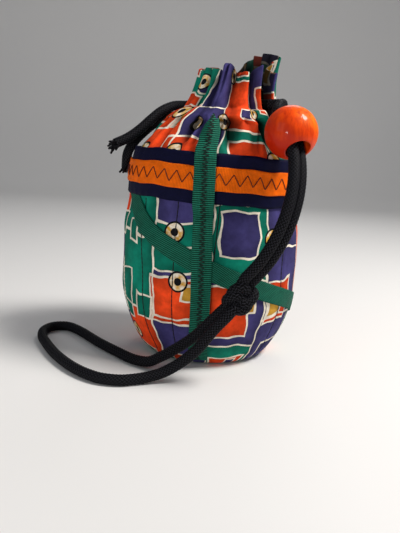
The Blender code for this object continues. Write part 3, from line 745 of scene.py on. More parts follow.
def braid_finish():
    """Black filament yarns that wind both ways; their crowns are painted lighter as painted highlights
    and the rest darker as painted shade.
    """
    sizes = bpy.context.scene.pouch_sizes
    black = tuple(bpy.context.scene.pouch_colours.black)
    recipe = Recipe("black_braid", 0.45, Specular_IOR_Level=0.05)
    uv = recipe.uv()
    split = recipe.node("ShaderNodeSeparateXYZ", {0: uv})
    round_way = recipe.sum("MULTIPLY", split.outputs[0], float(sizes.braid_yarns))
    long_way = recipe.sum("MULTIPLY", split.outputs[1], sizes.braid_yarns / sizes.braid_pitch)
    one = recipe.sum("ADD", round_way, long_way)
    two = recipe.sum("SUBTRACT", round_way, long_way)
    crowns = [recipe.sum("ABSOLUTE", recipe.sum("SINE", recipe.sum("MULTIPLY", way, np.pi)))
              for way in (one, two)]
    turn = recipe.sum("MODULO", recipe.sum("ABSOLUTE", recipe.sum(
        "ADD", recipe.sum("FLOOR", one), recipe.sum("FLOOR", two))), 2.0)
    crown = recipe.blend(recipe.sum("GREATER_THAN", turn, 0.5), (0.0,) * 3, (1.0,) * 3)
    light = recipe.blend(crown, crowns[0], crowns[1])
    # Crowns painted up to 13 times the black as painted highlight specks, the rest 0.3 times as
    # painted shade.
    recipe.colour(recipe.blend(recipe.range(light, 0.80, 1.0), tuple(0.3 * c for c in black),
                               tuple(13.0 * c for c in black)))
    filament = recipe.sum("SINE", recipe.sum("MULTIPLY", recipe.blend(crown, two, one), 42.0))
    recipe.bump(filament, 0.00004, 0.35)
    return recipe.material


def thread_finish(name, colour):
    recipe = Recipe(name, 0.55, Sheen_Weight=0.05, Specular_IOR_Level=0.2)
    uv = recipe.uv()
    twist = recipe.sum("SINE", recipe.sum(
        "ADD", recipe.node("ShaderNodeSeparateXYZ", {
            0: recipe.stretched(uv, (6.283, 5200.0, 0.0))}).outputs[1],
        recipe.node("ShaderNodeSeparateXYZ", {
            0: recipe.stretched(uv, (12.566, 1.0, 0.0))}).outputs[0]))
    # The colour is darker in the grooves of the twist: painted shade.
    recipe.colour(recipe.blend(recipe.range(twist, -1.0, 1.0), tuple(0.6 * c for c in colour),
                               colour))
    recipe.bump(twist, 0.00004, 0.5)
    return recipe.material


def stained_wood():
    """Orange stain that has taken more deeply in places, under a clear lacquer; one side is painted
    pale yellow-orange as painted light and the other deep red as painted shade.
    """
    stain = tuple(bpy.context.scene.pouch_colours.stain)
    recipe = Recipe("stained_wood", 0.50, Coat_Weight=0.22, Coat_Roughness=0.04,
                    Specular_IOR_Level=0.08)
    here = recipe.vector_sum("SUBTRACT", recipe.node("ShaderNodeTexCoord").outputs["Object"],
                             tuple(BEAD_CENTRE))
    warped = recipe.vector_sum("ADD", here, recipe.vector_sum("MULTIPLY", recipe.node(
        "ShaderNodeTexNoise", {"Vector": here, "Scale": 70.0}).outputs["Color"], (0.004,) * 3))
    grain = recipe.noise(recipe.stretched(warped, (420.0, 420.0, 70.0)), 1.0, 4.0, 0.6)
    cloud = recipe.noise(here, 85.0, 2.0)
    # Painted light and shade: the side towards the upper right is painted pale yellow-orange and the
    # side away from it deep red.
    side = recipe.node("ShaderNodeVectorMath", {0: here, 1: (0.62, 0.20, 0.76)},
                       operation="DOT_PRODUCT").outputs["Value"]
    pale = recipe.sum("ADD", side, recipe.range(cloud, 0.3, 0.7, -0.005, 0.005))
    warm = recipe.blend(recipe.range(pale, -0.012, 0.002), (0.44, 0.014, 0.001), stain)
    warm = recipe.blend(recipe.range(pale, 0.003, 0.014), warm, (0.96, 0.19, 0.002))
    recipe.colour(recipe.blend(recipe.range(grain, 0.26, 0.56), (0.45, 0.018, 0.001), warm))
    recipe.bump(grain, 0.00005, 0.25)
    return recipe.material


def plain_stage(name, colour):
    recipe = Recipe(name, 0.9)
    place_in = recipe.node("ShaderNodeTexCoord").outputs["Object"]
    recipe.colour(recipe.blend(recipe.noise(place_in, 3.0), tuple(0.97 * c for c in colour),
                               colour))
    return recipe.material


# Routes of the cord, as in the part's source

def travel_frame():
    inward = (ARC_INWARD_HINT - BEAD_DIRECTION * ARC_INWARD_HINT.dot(BEAD_DIRECTION)).normalized()
    centre = BEAD_CENTRE + inward * BEAD_TRAVEL_RADIUS
    return centre, -inward, BEAD_DIRECTION, BEAD_DIRECTION.cross(inward)


def arc_point(distance):
    centre, outward, along, across = travel_frame()
    turn = distance / BEAD_TRAVEL_RADIUS
    return centre + (outward * np.cos(turn) + along * np.sin(turn)) * BEAD_TRAVEL_RADIUS


def slit_exit(angle, side):
    diameter = bpy.context.scene.pouch_sizes.cord_diameter
    height = CASING_HEIGHT + side * (diameter + GAP) / 2
    return [Vector(place(angle, radius, height))
            for radius in (CORD_EXIT_RADIUS, CORD_EXIT_RADIUS + 1.3 * diameter)]


def strand_route(side):
    """One of the two strands from the right slit, through the bead, to the knot."""
    offset = (bpy.context.scene.pouch_sizes.cord_diameter + GAP) / 2
    across = travel_frame()[3]
    middle = slit_exit(SLIT_ANGLE, 0)
    middle += [Vector((0.0358, -0.0280, 0.1473)), Vector((0.0344, -0.0350, 0.1459))]
    turning = len(middle)
    steps = 9
    for k in range(steps + 1):
        middle.append(arc_point((ARC_BEFORE_BEAD + ARC_AFTER_BEAD) * k / steps - ARC_BEFORE_BEAD))
    route = []
    for k, point in enumerate(middle):
        forward = (middle[min(k + 1, len(middle) - 1)] - middle[max(k - 1, 0)]).normalized()
        share = min(1.0, max(0, k - 1) / (turning - 1))
        aside = Vector((0, 0, 1)).lerp(-across, share)
        aside = (aside - forward * aside.dot(forward)).normalized()
        route.append(point + aside * side * offset)
    return route


def loop_route():
    """The wrist loop, in millimetres, with heights from the middle of the cord where it lies."""
    near = [(11.2, -72.6, 38.5), (3.2, -71.4, 28.6), (-3.6, -69.4, 18.4), (-9.8, -68.2, 11.6),
            (-16.4, -67.8, 6.3), (-23.2, -68.4, 2.5), (-30.4, -70.4, 0.6), (-37.4, -73.0, 0.0),
            (-45.6, -75.2, 0.0), (-57.4, -72.4, 0.0), (-71.5, -60.6, 0.0), (-85.8, -41.6, 0.0),
            (-97.5, -20.4, 0.0), (-102.8, -8.0, 0.0), (-104.6, 3.2, 0.0), (-101.0, 12.6, 0.0),
            (-92.0, 14.8, 0.0), (-81.6, 5.6, 0.0), (-66.4, -14.6, 0.0), (-51.8, -31.4, 0.0),
            (-41.2, -42.2, 0.0), (-32.2, -48.4, 1.2), (-25.4, -52.0, 5.4), (-19.2, -55.4, 10.2),
            (-11.6, -59.0, 16.6), (-4.9, -61.8, 23.2), (1.2, -64.0, 30.6), (8.6, -66.6, 39.4)]
    lying = bpy.context.scene.pouch_sizes.cord_diameter / 2 + GAP / 3
    return [Vector(point) * MM + Vector((0, 0, lying)) for point in near]


def tail_route(side):
    """One of the two free ends at the left slit, in millimetres past the slit."""
    upper = [(-27.6, 22.2, 149.8), (-34.4, 15.4, 146.0), (-40.6, 9.4, 140.0),
             (-46.6, 5.4, 133.8), (-53.3, 1.8, 128.4), (-60.6, -2.0, 124.4)]
    lower = [(-30.0, 24.2, 143.0), (-38.2, 19.2, 138.8), (-45.0, 15.2, 132.8),
             (-50.6, 12.4, 126.4), (-54.4, 10.4, 119.2), (-54.9, 8.4, 110.2)]
    points = upper if side > 0 else lower
    return slit_exit(SLIT_ANGLE - 180, side) + [Vector(point) * MM for point in points]


def braid(turn, travelled):
    """Relief of a round braid: yarns wind both ways and pass over and under each other."""
    sizes = bpy.context.scene.pouch_sizes
    winds = sizes.braid_yarns
    one = turn * winds / (2 * np.pi) + travelled * winds / sizes.braid_pitch
    two = turn * winds / (2 * np.pi) - travelled * winds / sizes.braid_pitch
    i, j = np.floor(one), np.floor(two)
    a, b = one - i - 0.5, two - j - 0.5
    side = np.where((i + j) % 2 == 0, 1.0, -1.0)
    over = np.cos(np.pi * a) ** 0.5 * 0.00042 + side * np.cos(np.pi * b) * 0.00024
    under = np.cos(np.pi * b) ** 0.5 * 0.00042 - side * np.cos(np.pi * a) * 0.00024
    return np.maximum(over, under) - 0.00048


def frayed_end(route, seed, count=14, reach=0.0046):
    """Loose yarns that spread from a cut end and droop."""
    chance = random.Random(seed)
    end = Vector(route[-1])
    forward = (end - Vector(route[-4])).normalized()
    first = forward.orthogonal().normalized()
    second = forward.cross(first)
    parts = []
    for _ in range(count):
        turn = chance.uniform(0, 2 * np.pi)
        out = first * np.cos(turn) + second * np.sin(turn)
        start = end - forward * 0.0012 + out * chance.uniform(0.2, 1.0) * 0.0019
        length = reach * chance.uniform(0.45, 1.0)
        bend = chance.uniform(0.3, 1.25)
        curl = first * chance.uniform(-1, 1) + second * chance.uniform(-1, 1)
        points = []
        for k in range(8):
            t = k / 7
            points.append(start + forward * length * t + out * length * bend * t ** 1.4 * 0.7
                          + curl * length * 0.34 * np.sin(5 * t)
                          - Vector((0, 0, 0.25 * length * t * t)))
        thick = np.linspace(0.00088, 0.00065, 8)
        parts.append(tube(np.array([tuple(p) for p in points]), thick, 6))
    return joined(parts)


class POUCH_OT_camera(Operator):
    """Place the camera at the photograph's viewing angle"""

    bl_idname = "pouch.camera"
    bl_label = "Camera"

    def execute(self, context):
        data = bpy.data.cameras.new("camera")
        data.lens = 40.5
        data.sensor_width = 36.0
        camera = bpy.data.objects.new("camera", data)
        context.scene.collection.objects.link(camera)
        turned = (Matrix.Rotation(np.radians(90 - 10.92), 4, "X")
                  @ Matrix.Rotation(np.radians(2.99), 4, "Z"))
        camera.matrix_world = Matrix.Translation((-0.0055, -0.3713, 0.1228)) @ turned
        context.scene.camera = camera
        return {"FINISHED"}


class POUCH_OT_drawstring(Operator):
    """Make the braided cord, its knot and its frayed ends"""

    bl_idname = "pouch.drawstring"
    bl_label = "Drawstring"

    def execute(self, context):
        diameter = context.scene.pouch_sizes.cord_diameter
        finish = braid_finish()
        knot = self.knot(finish, diameter)
        stretches = (
            ("strand_front", strand_route(1), [knot], "object"),
            ("strand_back", strand_route(-1), [], "object"),
            ("wrist_loop", loop_route(), [], "object"),
            ("tail_upper", tail_route(1), [], "bare"),
            ("tail_lower", tail_route(-1), [], "bare"),
        )
        for seed, (name, points, pieces, far_end) in enumerate(stretches):
            if name == "wrist_loop":
                points = [self.into_knot(points[0])] + points + [self.into_knot(points[-1])]
            elif name.startswith("strand"):
                points = points + [self.into_knot(points[-1])]
            route = smooth_route(points, 0.00042)
            piece = mesh_piece("cord_" + name, *tube(route, diameter / 2, BRAID_SIDES, braid),
                               slot="black_cord", material=finish)
            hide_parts(name)
            if far_end == "bare":
                frays = mesh_piece(name + "_frays", *frayed_end(route, seed),
                                   slot="black_cord", material=finish)
                pieces = [frays]
            if name == "strand_front":
                pieces = [knot, bpy.data.objects["wooden_bead"]]
            route_length(route)
        return {"FINISHED"}

    def into_knot(self, end):
        """The cord goes on into the knot, where it can't be seen."""
        return end.lerp(KNOT_CENTRE, 0.45)

    def knot(self, finish, diameter):
        """An overhand knot in the doubled cord, drawn tight."""
        along = (arc_point(ARC_AFTER_BEAD) - Vector((10.0, -69.5, 41.9)) * MM).normalized()
        first = Vector((0.2, -1.0, 0.1)).cross(along).normalized()
        turned = Matrix((first, along.cross(first), along)).transposed()
        parts = []
        for side in (-1, 1):
            points = []
            for k in range(0, 49):
                t = 2 * np.pi * k / 48
                points.append(Vector((np.sin(t) + 1.75 * np.sin(2 * t),
                                      np.cos(t) - 1.75 * np.cos(2 * t),
                                      -1.55 * np.sin(3 * t) + side * 1.12)) * 0.00208)
            route = smooth_route([KNOT_CENTRE + turned @ point for point in points], 0.00042)
            parts.append(tube(route, diameter / 2, BRAID_SIDES, braid))
        piece = mesh_piece("overhand_knot", *joined(parts), slot="black_cord", material=finish)
        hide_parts("cord_knot")
        return piece


class POUCH_OT_casing_cord(Operator):
    """Finish the stretches of cord that lie inside the casings"""

    bl_idname = "pouch.casing_cord"
    bl_label = "Cord in the casings"

    def execute(self, context):
        finish = bpy.data.materials["black_braid"]
        for name in ("casing_cord_front", "casing_cord_back"):
            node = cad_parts[name]
            node.data.materials.clear()
            node.data.materials.append(finish)
        return {"FINISHED"}


class POUCH_OT_bead(Operator):
    """Turn the wooden bead"""

    bl_idname = "pouch.bead"
    bl_label = "Wooden bead"

    def execute(self, context):
        sizes = context.scene.pouch_sizes
        radius = sizes.bead_diameter / 2
        bore = sizes.bead_bore / 2
        lip = 0.0005
        start = np.arccos((bore + lip) / radius)
        profile = [(radius * np.cos(a), radius * np.sin(a))
                   for a in np.linspace(start, -start, 60)]
        edge = radius * np.sin(start)
        round_lip = [(bore + lip - lip * np.sin(a), lip * (1 - np.cos(a)))
                     for a in np.linspace(0.35, np.pi / 2, 5)]
        profile += [(r, -edge + z) for r, z in round_lip]
        profile += [(bore, z) for z in np.linspace(-edge * 0.8, edge * 0.8, 12)]
        profile += [(r, edge - z) for r, z in reversed(round_lip)]
        segments = 112
        points, faces = [], []
        for k in range(segments):
            turn = 2 * np.pi * k / segments
            points += [(r * np.cos(turn), r * np.sin(turn), z) for r, z in profile]
        count = len(profile)
        for k in range(segments):
            for n in range(count):
                m = (n + 1) % count
                other = (k + 1) % segments
                faces.append((k * count + n, k * count + m, other * count + m, other * count + n))
        mesh = bpy.data.meshes.new("wooden_bead")
        mesh.from_pydata(points, [], faces)
        mesh.shade_smooth()
        mesh.flip_normals()
        mesh.materials.append(stained_wood())
        centre, outward, along, across = travel_frame()
        turned = Matrix((outward, across, -along)).transposed().to_4x4()
        mesh.transform(Matrix.Translation(BEAD_CENTRE) @ turned)
        bead = bpy.data.objects.new("wooden_bead", mesh)
        context.scene.collection.objects.link(bead)
        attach(bead, "bead")
        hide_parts("bead")
        return {"FINISHED"}


def panel_levels():
    """Heights of the rows of a panel, closer together where the form turns."""
    corner = np.linspace(0.0, 1.0, 26)[1:] ** 1.6 * CORNER_HEIGHT
    body = np.linspace(CORNER_HEIGHT, SHOULDER_HEIGHT, 44)[1:]
    collar = np.linspace(SHOULDER_HEIGHT, COLLAR_TOP, 56)[1:]
    levels = np.concatenate([[BASE_LIFT], corner, body, collar])
    return levels[levels >= BASE_LIFT]


def panel_grids(middle):
    """Outer and inner points of a panel, and its place on the flat cloth."""
    levels = panel_levels()[:, None]
    share = np.linspace(0.0, 1.0, 260)[None, :]
    angle = middle + (share - 0.5) * (180 - 2 * slit_half(levels))
    height = levels + 0 * share
    outer = on_cloth(angle, height, 0.0)
    depth = hollow(angle, height)
    wall = np.where(height < CASING_HEIGHT, CLOTH, COLLAR_CLOTH)
    radius = outer_radius(angle, height) - wall
    rise = CLOTH * np.maximum(0.0, 1 - 3 * height / CORNER_HEIGHT)
    inner = place(angle, radius, surface_level(angle, height) + rise)
    travelled = np.concatenate([[0.0], np.cumsum(np.hypot(
        np.diff(levels[:, 0]), np.diff(crest_radius(levels[:, 0]))))])
    u = np.radians(middle + (share - 0.5) * 180) * BODY_RADIUS + 0 * levels
    v = travelled[:, None] + 0 * share
    return outer, inner, u, v, depth


def rolled_hem(outer, inner, rows=5):
    """Carry the cloth over the collar's top edge in a soft round fold."""
    top_out, top_in = outer[-1], inner[-1]
    middle = (top_out + top_in) / 2
    across = (top_out - top_in) / 2
    reach = np.linalg.norm(across, axis=1)[:, None]
    up = np.array([[0.0, 0.0, 1.0]])
    extra = [middle + across * np.cos(a) + up * reach * np.sin(a)
             for a in np.linspace(0.0, np.pi / 2, rows)[1:]]
    back = [middle - across * np.cos(a) + up * reach * np.sin(a)
            for a in np.linspace(0.0, np.pi / 2, rows)[1:-1]]
    back.append(extra[-1] - up * 0.0001)
    return (np.concatenate([outer, np.array(extra)]), np.concatenate([inner, np.array(back)]))


class POUCH_OT_panels(Operator):
    """Make the two printed panels with their gathers and collar"""

    bl_idname = "pouch.panels"
    bl_label = "Printed panels"

    def execute(self, context):
        finish = printed_cotton("printed_cotton", 1.0, 0.0)
        # The inner faces get the print muted towards grey, as on a print's wrong side, and dimmed to
        # 0.26 as painted shade.
        reverse_in_shade = printed_cotton("printed_cotton_reverse_in_shade", 0.26, 0.12)
        for name, middle in (("front_panel", FRONT_MIDDLE), ("back_panel", BACK_MIDDLE)):
            outer, inner, u, v, depth = panel_grids(middle)
            outer, inner = rolled_hem(outer, inner)
            more = len(outer) - len(v)
            v = np.concatenate([v, v[-1:] + 0.0012 * np.arange(1, more + 1)[:, None]])
            u = np.concatenate([u, np.repeat(u[-1:], more, axis=0)])
            piece = mesh_piece("cloth_" + name, *shell(outer, inner, u, v),
                               slot="printed_cotton", material=finish)
            # The fold depth goes on the points so that the cloth's material paints shade into the
            # folds.
            depth = np.concatenate([depth, np.repeat(depth[-1:], more, axis=0)]).ravel()
            marks = piece.data.attributes.new("hollow", "FLOAT", "POINT")
            marks.data.foreach_set("value", np.concatenate([depth, depth]).astype(np.float32))
            piece.data.materials.append(reverse_in_shade)
            inside = outer.shape[0] * outer.shape[1]
            for face in piece.data.polygons:
                face.material_index = int(min(face.vertices) >= inside)
            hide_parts(name)
        return {"FINISHED"}


class POUCH_OT_base(Operator):
    """Make the round base and the loose lining"""

    bl_idname = "pouch.base"
    bl_label = "Base and lining"

    def execute(self, context):
        self.base()
        self.lining()
        return {"FINISHED"}

    def base(self):
        low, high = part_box("base_panel")
        reach = (high.x - low.x) / 2
        shares = np.array([0.004, 0.2, 0.4, 0.6, 0.8, 0.93, 0.985, 1.0])
        angle = np.linspace(0, 360, 97)[None, :-1]
        radius = shares[:, None] * reach + 0 * angle
        edge = 0.0005 * ease(0.93, 1.0, shares)[:, None] + 0 * angle
        bottom = place(angle, radius, edge)
        top = place(angle, radius, BASE_THICKNESS - edge)
        turn = np.radians(np.linspace(0, 360, 97))[None, :]
        flat = shares[:, None] * reach
        piece = mesh_piece("round_base", *shell(
            bottom, top, flat * np.sin(turn) + 0.2, flat * np.cos(turn) + 0.2, closed=True),
            slot="printed_cotton", material=bpy.data.materials["printed_cotton"])
        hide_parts("base_panel")

    def lining(self):
        low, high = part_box("lining")
        levels = np.concatenate([np.linspace(low.z + 0.0008, 0.044, 24),
                                 np.linspace(0.048, high.z, 30)])[:, None]
        angle = np.linspace(0, 360, 145)[None, :-1]
        height = levels + 0 * angle
        share, back = panel_share(angle, height)
        inside = crest_radius(height) - CLOTH - pleat_depth(height) - 2 * GAP
        inside = inside - 0.0050 * ease(SHOULDER_HEIGHT, SHOULDER_HEIGHT + 0.010, height)
        slack = 0.0011 * (0.5 - 0.5 * np.cos(np.radians(angle * 9) + 60 * height))
        radius = inside - slack * ease(0.01, 0.05, height)
        radius = np.minimum(radius, BASE_SEAM_RADIUS - CLOTH - 2 * GAP
                            + np.maximum(0.0, height - low.z) * 40)
        outer = place(angle, radius, height)
        inner = place(angle, radius - 0.0006, height + 0.0004 * (1 - ease(0.0, 0.04, height)))
        shares = np.array([0.01, 0.35, 0.7, 0.93])[:, None]
        floor_out = place(angle, shares * radius[:1], low.z + 0.0003 + 0 * angle * shares)
        floor_in = place(angle, shares * radius[:1], low.z + 0.0009 + 0 * angle * shares)
        outer = np.concatenate([floor_out, outer])
        inner = np.concatenate([floor_in, inner])
        turn = np.radians(np.linspace(0, 360, 145))[None, :]
        rows = np.concatenate([shares * 0.03, levels + 0.03])
        piece = mesh_piece("cotton_lining", *shell(
            outer, inner, turn * BODY_RADIUS + 0 * rows, rows + 0 * turn, closed=True),
            slot="lining_cotton", material=plain_cotton())
        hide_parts("lining")


# Band and ribbons

def band_level(height, angle):
    return height - np.tan(np.radians(BAND_TILT)) * body_radius(height) * np.sin(np.radians(angle))


def band_point(angle, height, lift):
    """Points outside the body at a height on the tilted band."""
    level = band_level(height, angle)
    wave = 0.00035 * np.sin(np.radians(angle * 7)) + 0.0002 * np.sin(np.radians(angle * 17) + 1)
    return place(angle, body_radius(level) + ripple(angle, level) + lift, level + wave)


def ring(name, bottom, height, lift, thickness, bulge, slot, material):
    share = np.linspace(0.0, 1.0, 15)[:, None]
    angle = np.linspace(0, 360, 361)[None, :-1]
    rise = bulge * (1 - (2 * share - 1) ** 2) + 0 * angle
    heights = bottom + height * share + 0 * angle
    pucker = 0.00012 * np.sin(np.radians(angle * 46)) * (2 * share - 1) ** 4
    outer = band_point(angle, heights, lift + thickness + rise + pucker)
    inner = band_point(angle, heights, lift + rise + pucker)
    length = np.radians(np.linspace(0, 360, 361))[None, :] * BODY_RADIUS + 0 * share
    across = height * share + 0 * length
    piece = mesh_piece(name, *shell(outer, inner, length, across, closed=True),
                       slot=slot, material=material)
    return piece


def zigzag(first, last, pitch, height, middle, lift, tilt=0.0):
    """A zigzag of thread along the band between two angles."""
    step = np.degrees(pitch / 2 / BODY_RADIUS)
    count = int((last - first) / step)
    route = []
    for k in range(count):
        side = height / 2 if k % 2 else -height / 2
        start = np.array([first + k * step, middle + side])
        stop = np.array([first + (k + 1) * step, middle - side])
        for t in (0.04, 0.2, 0.4, 0.6, 0.8, 0.96):
            angle, level = start + (stop - start) * t
            dip = 0.00025 * (1 - np.sin(np.pi * t) ** 0.5)
            route.append(band_point(np.float64(angle), np.float64(level), lift - dip))
    return np.array(route)


class POUCH_OT_band(Operator):
    """Make the dark band, the orange ribbon on it and its zigzag stitching"""

    bl_idname = "pouch.band"
    bl_label = "Band"

    def execute(self, context):
        sizes = context.scene.pouch_sizes
        colours = context.scene.pouch_colours
        navy = tuple(colours.navy)
        orange = tuple(colours.orange)
        # The valleys between the ribs are painted darker than the tape and the ribbon: painted shade.
        band = ring("dark_band", BAND_BOTTOM, BAND_HEIGHT, BAND_EASE, RIBBON_THICKNESS, 0.0004,
                    "navy_tape", ribbed_ribbon("navy_tape", navy, tuple(0.6 * c for c in navy),
                                               0.0006, 0.0009, 0.35))
        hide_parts("navy_band")
        bottom = BAND_BOTTOM + (BAND_HEIGHT - sizes.orange_width) / 2
        ribbon = ring("orange_band_ribbon", bottom, sizes.orange_width, BAND_EASE + LAYER + 0.0003,
                      RIBBON_THICKNESS, 0.0002, "orange_ribbon",
                      ribbed_ribbon("orange_ribbon", orange, tuple(0.72 * c for c in orange),
                                    sizes.rib_pitch * 0.8, 0.0008, 0.20))
        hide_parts("orange_ribbon")
        lift = BAND_EASE + 2 * LAYER + 0.00045
        route = zigzag(-174.0, 176.0, sizes.zigzag_pitch, sizes.zigzag_height,
                       BAND_BOTTOM + BAND_HEIGHT * 0.50, lift)
        thread = mesh_piece("zigzag_thread", *tube(route, sizes.thread_diameter / 2, 6),
                            slot="black_cord",
                            material=thread_finish("maroon_thread", (0.095, 0.008, 0.003)))
        return {"FINISHED"}


def diagonal_level(angle):
    past = angle - DIAGONAL_STEEP_AT
    steep = DIAGONAL_STEEP_FALL * (1 - np.exp(-past / DIAGONAL_STEEP_TURN))
    return BAND_BOTTOM + DIAGONAL_TOP - DIAGONAL_FALL_PER_DEGREE * past - steep


def diagonal_place(angle, across):
    """Angle and height of a place on the slanting ribbon, across from its middle line."""
    run = np.radians(2.0) * BODY_RADIUS
    rise = diagonal_level(angle + 1) - diagonal_level(angle - 1)
    size = np.hypot(run, rise)
    turned = angle - np.degrees(across * rise / size / BODY_RADIUS)
    return turned, diagonal_level(angle) + across * run / size


def diagonal_ends(across):
    """Where each thread of the ribbon goes in under the band and reaches the base seam."""
    def below_band(angle):
        turned, level = diagonal_place(angle, across)
        return level < band_level(BAND_BOTTOM + DIAGONAL_TUCK, turned)

    def below_seam(angle):
        return diagonal_place(angle, across)[1] < FRONT_RIBBON_BOTTOM

    ends = []
    for passed, (low, high) in ((below_band, DIAGONAL_START_RANGE),
                                (below_seam, DIAGONAL_END_RANGE)):
        low, high = low + 0 * across, high + 0 * across
        for _ in range(24):
            middle = (low + high) / 2
            reached = passed(middle)
            low, high = np.where(reached, low, middle), np.where(reached, middle, high)
        ends.append(high)
    return ends


def front_ribbon_x(height):
    """The upright ribbon leans to the left below the band, and to the right into the gathers."""
    lean = FRONT_RIBBON_LEAN * ease(CORNER_HEIGHT, BAND_BOTTOM, height)
    return FRONT_RIBBON_X - lean + FRONT_RIBBON_STRAY * ease(
        SHOULDER_HEIGHT, FRONT_RIBBON_TOP, height)


def front_ribbon_pinch(height):
    return 1 - FRONT_RIBBON_PINCH * ease(0.132, FRONT_RIBBON_TOP, height)


def front_ribbon_radius(angle, height):
    """Lower face of the upright ribbon, which bridges the folds and sinks in at its top."""
    smooth = crest_radius(height) - 0.45 * pleat_depth(height) + 0 * angle
    sunk = 0.0026 * ease(FRONT_RIBBON_TOP - 0.007, FRONT_RIBBON_TOP, height)
    over = np.maximum(smooth, outer_radius(angle, height))
    return over + front_ribbon_lift(height) + 0.0004 - sunk


def front_ribbon_lift(height):
    """Over the slanting ribbon and over the band."""
    ramp = 0.005
    crossing = diagonal_level(angle_at_x(-0.005, 0.06))
    over_diagonal = 1 - ease(0.0100, 0.0100 + ramp, np.abs(height - crossing))
    middle = BAND_BOTTOM + BAND_HEIGHT / 2
    half = BAND_HEIGHT / 2 + 0.001
    over_band = 1 - ease(half, half + ramp, np.abs(height - middle))
    return GAP + np.maximum(LAYER * over_diagonal, (BAND_EASE + 2 * LAYER + 0.0006) * over_band)


class POUCH_OT_ribbons(Operator):
    """Make the upright and the slanting green ribbon and their stitching"""

    bl_idname = "pouch.ribbons"
    bl_label = "Green ribbons"

    def execute(self, context):
        sizes = context.scene.pouch_sizes
        green = tuple(context.scene.pouch_colours.green)
        # The ribs' crowns are painted about 3.4 times lighter than the green as a painted highlight,
        # and the valleys darker as painted shade.
        finish = ribbed_ribbon("green_ribbon", tuple(3.4 * c + 0.012 for c in green),
                               tuple(0.45 * c for c in green), sizes.rib_pitch, 0.0007, 0.55)
        ribbon = self.upright(sizes, finish)
        self.slanting(sizes, finish)
        thread = self.stitching(sizes)
        return {"FINISHED"}

    def upright(self, sizes, finish):
        heights = np.linspace(FRONT_RIBBON_BOTTOM, FRONT_RIBBON_TOP, 190)[:, None]
        share = np.linspace(-0.5, 0.5, 15)[None, :]
        x = front_ribbon_x(heights) + share * sizes.green_width * front_ribbon_pinch(heights)
        angle = angle_at_x(x, heights)
        cup = 0.0012 * ease(SHOULDER_HEIGHT, 0.138, heights) * np.cos(2 * np.pi * share)
        radius = front_ribbon_radius(angle, heights) + cup
        level = heights + 0 * angle
        outer = place(angle, radius + RIBBON_THICKNESS, level)
        inner = place(angle, radius, level)
        length = heights + 0 * share
        across = share * sizes.green_width + 0 * heights
        piece = mesh_piece("upright_ribbon", *shell(outer, inner, length, across),
                           slot="green_ribbon", material=finish)
        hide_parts("front_ribbon")
        return piece

    def slanting(self, sizes, finish):
        share = np.linspace(-0.5, 0.5, 13)[None, :]
        across = share * sizes.green_width
        start, end = diagonal_ends(across)
        angle = start + (end - start) * np.linspace(0.0, 1.0, 280)[:, None]
        turned, level = diagonal_place(angle, across)
        tuck = ease(0.090, 0.095, level)
        lift = 0.0006 - 0.0002 * tuck + 0.00015 * np.sin(np.radians(angle * 9))
        radius = outer_radius(turned, level) + grooves(turned, level) + lift
        outer = place(turned, radius + RIBBON_THICKNESS * (1 - 0.5 * tuck), level)
        inner = place(turned, radius, level)
        steps = np.linalg.norm(np.diff(outer, axis=0), axis=2)
        length = np.concatenate([0 * angle[:1], np.cumsum(steps, axis=0)])
        length += np.radians(start) * BODY_RADIUS
        piece = mesh_piece("slanting_ribbon", *shell(outer, inner, length, across + 0 * angle),
                           slot="green_ribbon", material=finish)
        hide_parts("diagonal_ribbon")

    def stitching(self, sizes):
        """A close zigzag of dark thread holds the upright ribbon down its middle."""
        pitch = 0.0017
        count = int((FRONT_RIBBON_TOP - FRONT_RIBBON_BOTTOM) / pitch * 2)
        route = []
        for k in range(count):
            side = 0.0016 if k % 2 else -0.0016
            low = FRONT_RIBBON_BOTTOM + k * pitch / 2
            for t in (0.0, 0.33, 0.67):
                height = np.float64(low + t * pitch / 2)
                x = front_ribbon_x(height) + side * (1 - 2 * t) * front_ribbon_pinch(height)
                angle = angle_at_x(x, height)
                cup = 0.0012 * ease(SHOULDER_HEIGHT, 0.138, height)
                radius = front_ribbon_radius(angle, height) + cup + RIBBON_THICKNESS + 0.00012
                route.append(place(angle, radius, height))
        return mesh_piece(
            "upright_ribbon_thread", *tube(np.array(route), sizes.thread_diameter / 2, 6),
            slot="black_cord", material=thread_finish("dark_green_thread", (0.004, 0.016, 0.012)))


class POUCH_OT_seams(Operator):
    """Stitch the body cloth down its length"""

    bl_idname = "pouch.seams"
    bl_label = "Body stitching"

    def execute(self, context):
        sizes = context.scene.pouch_sizes
        parts = []
        for line in STITCH_LINES:
            heights = np.arange(0.006, 0.0955, 0.0004)
            angle = stitch_angle(line, heights)
            dip = 0.00028 * np.abs(np.sin(heights * np.pi / 0.0026)) ** 0.5
            route = on_cloth(angle, heights, -0.00022 + dip)
            parts.append(tube(route, sizes.thread_diameter / 2 * 1.3, 6))
        mesh_piece("body_thread", *joined(parts), slot="black_cord",
                   material=thread_finish("black_thread", (0.005, 0.004, 0.007)))
        return {"FINISHED"}


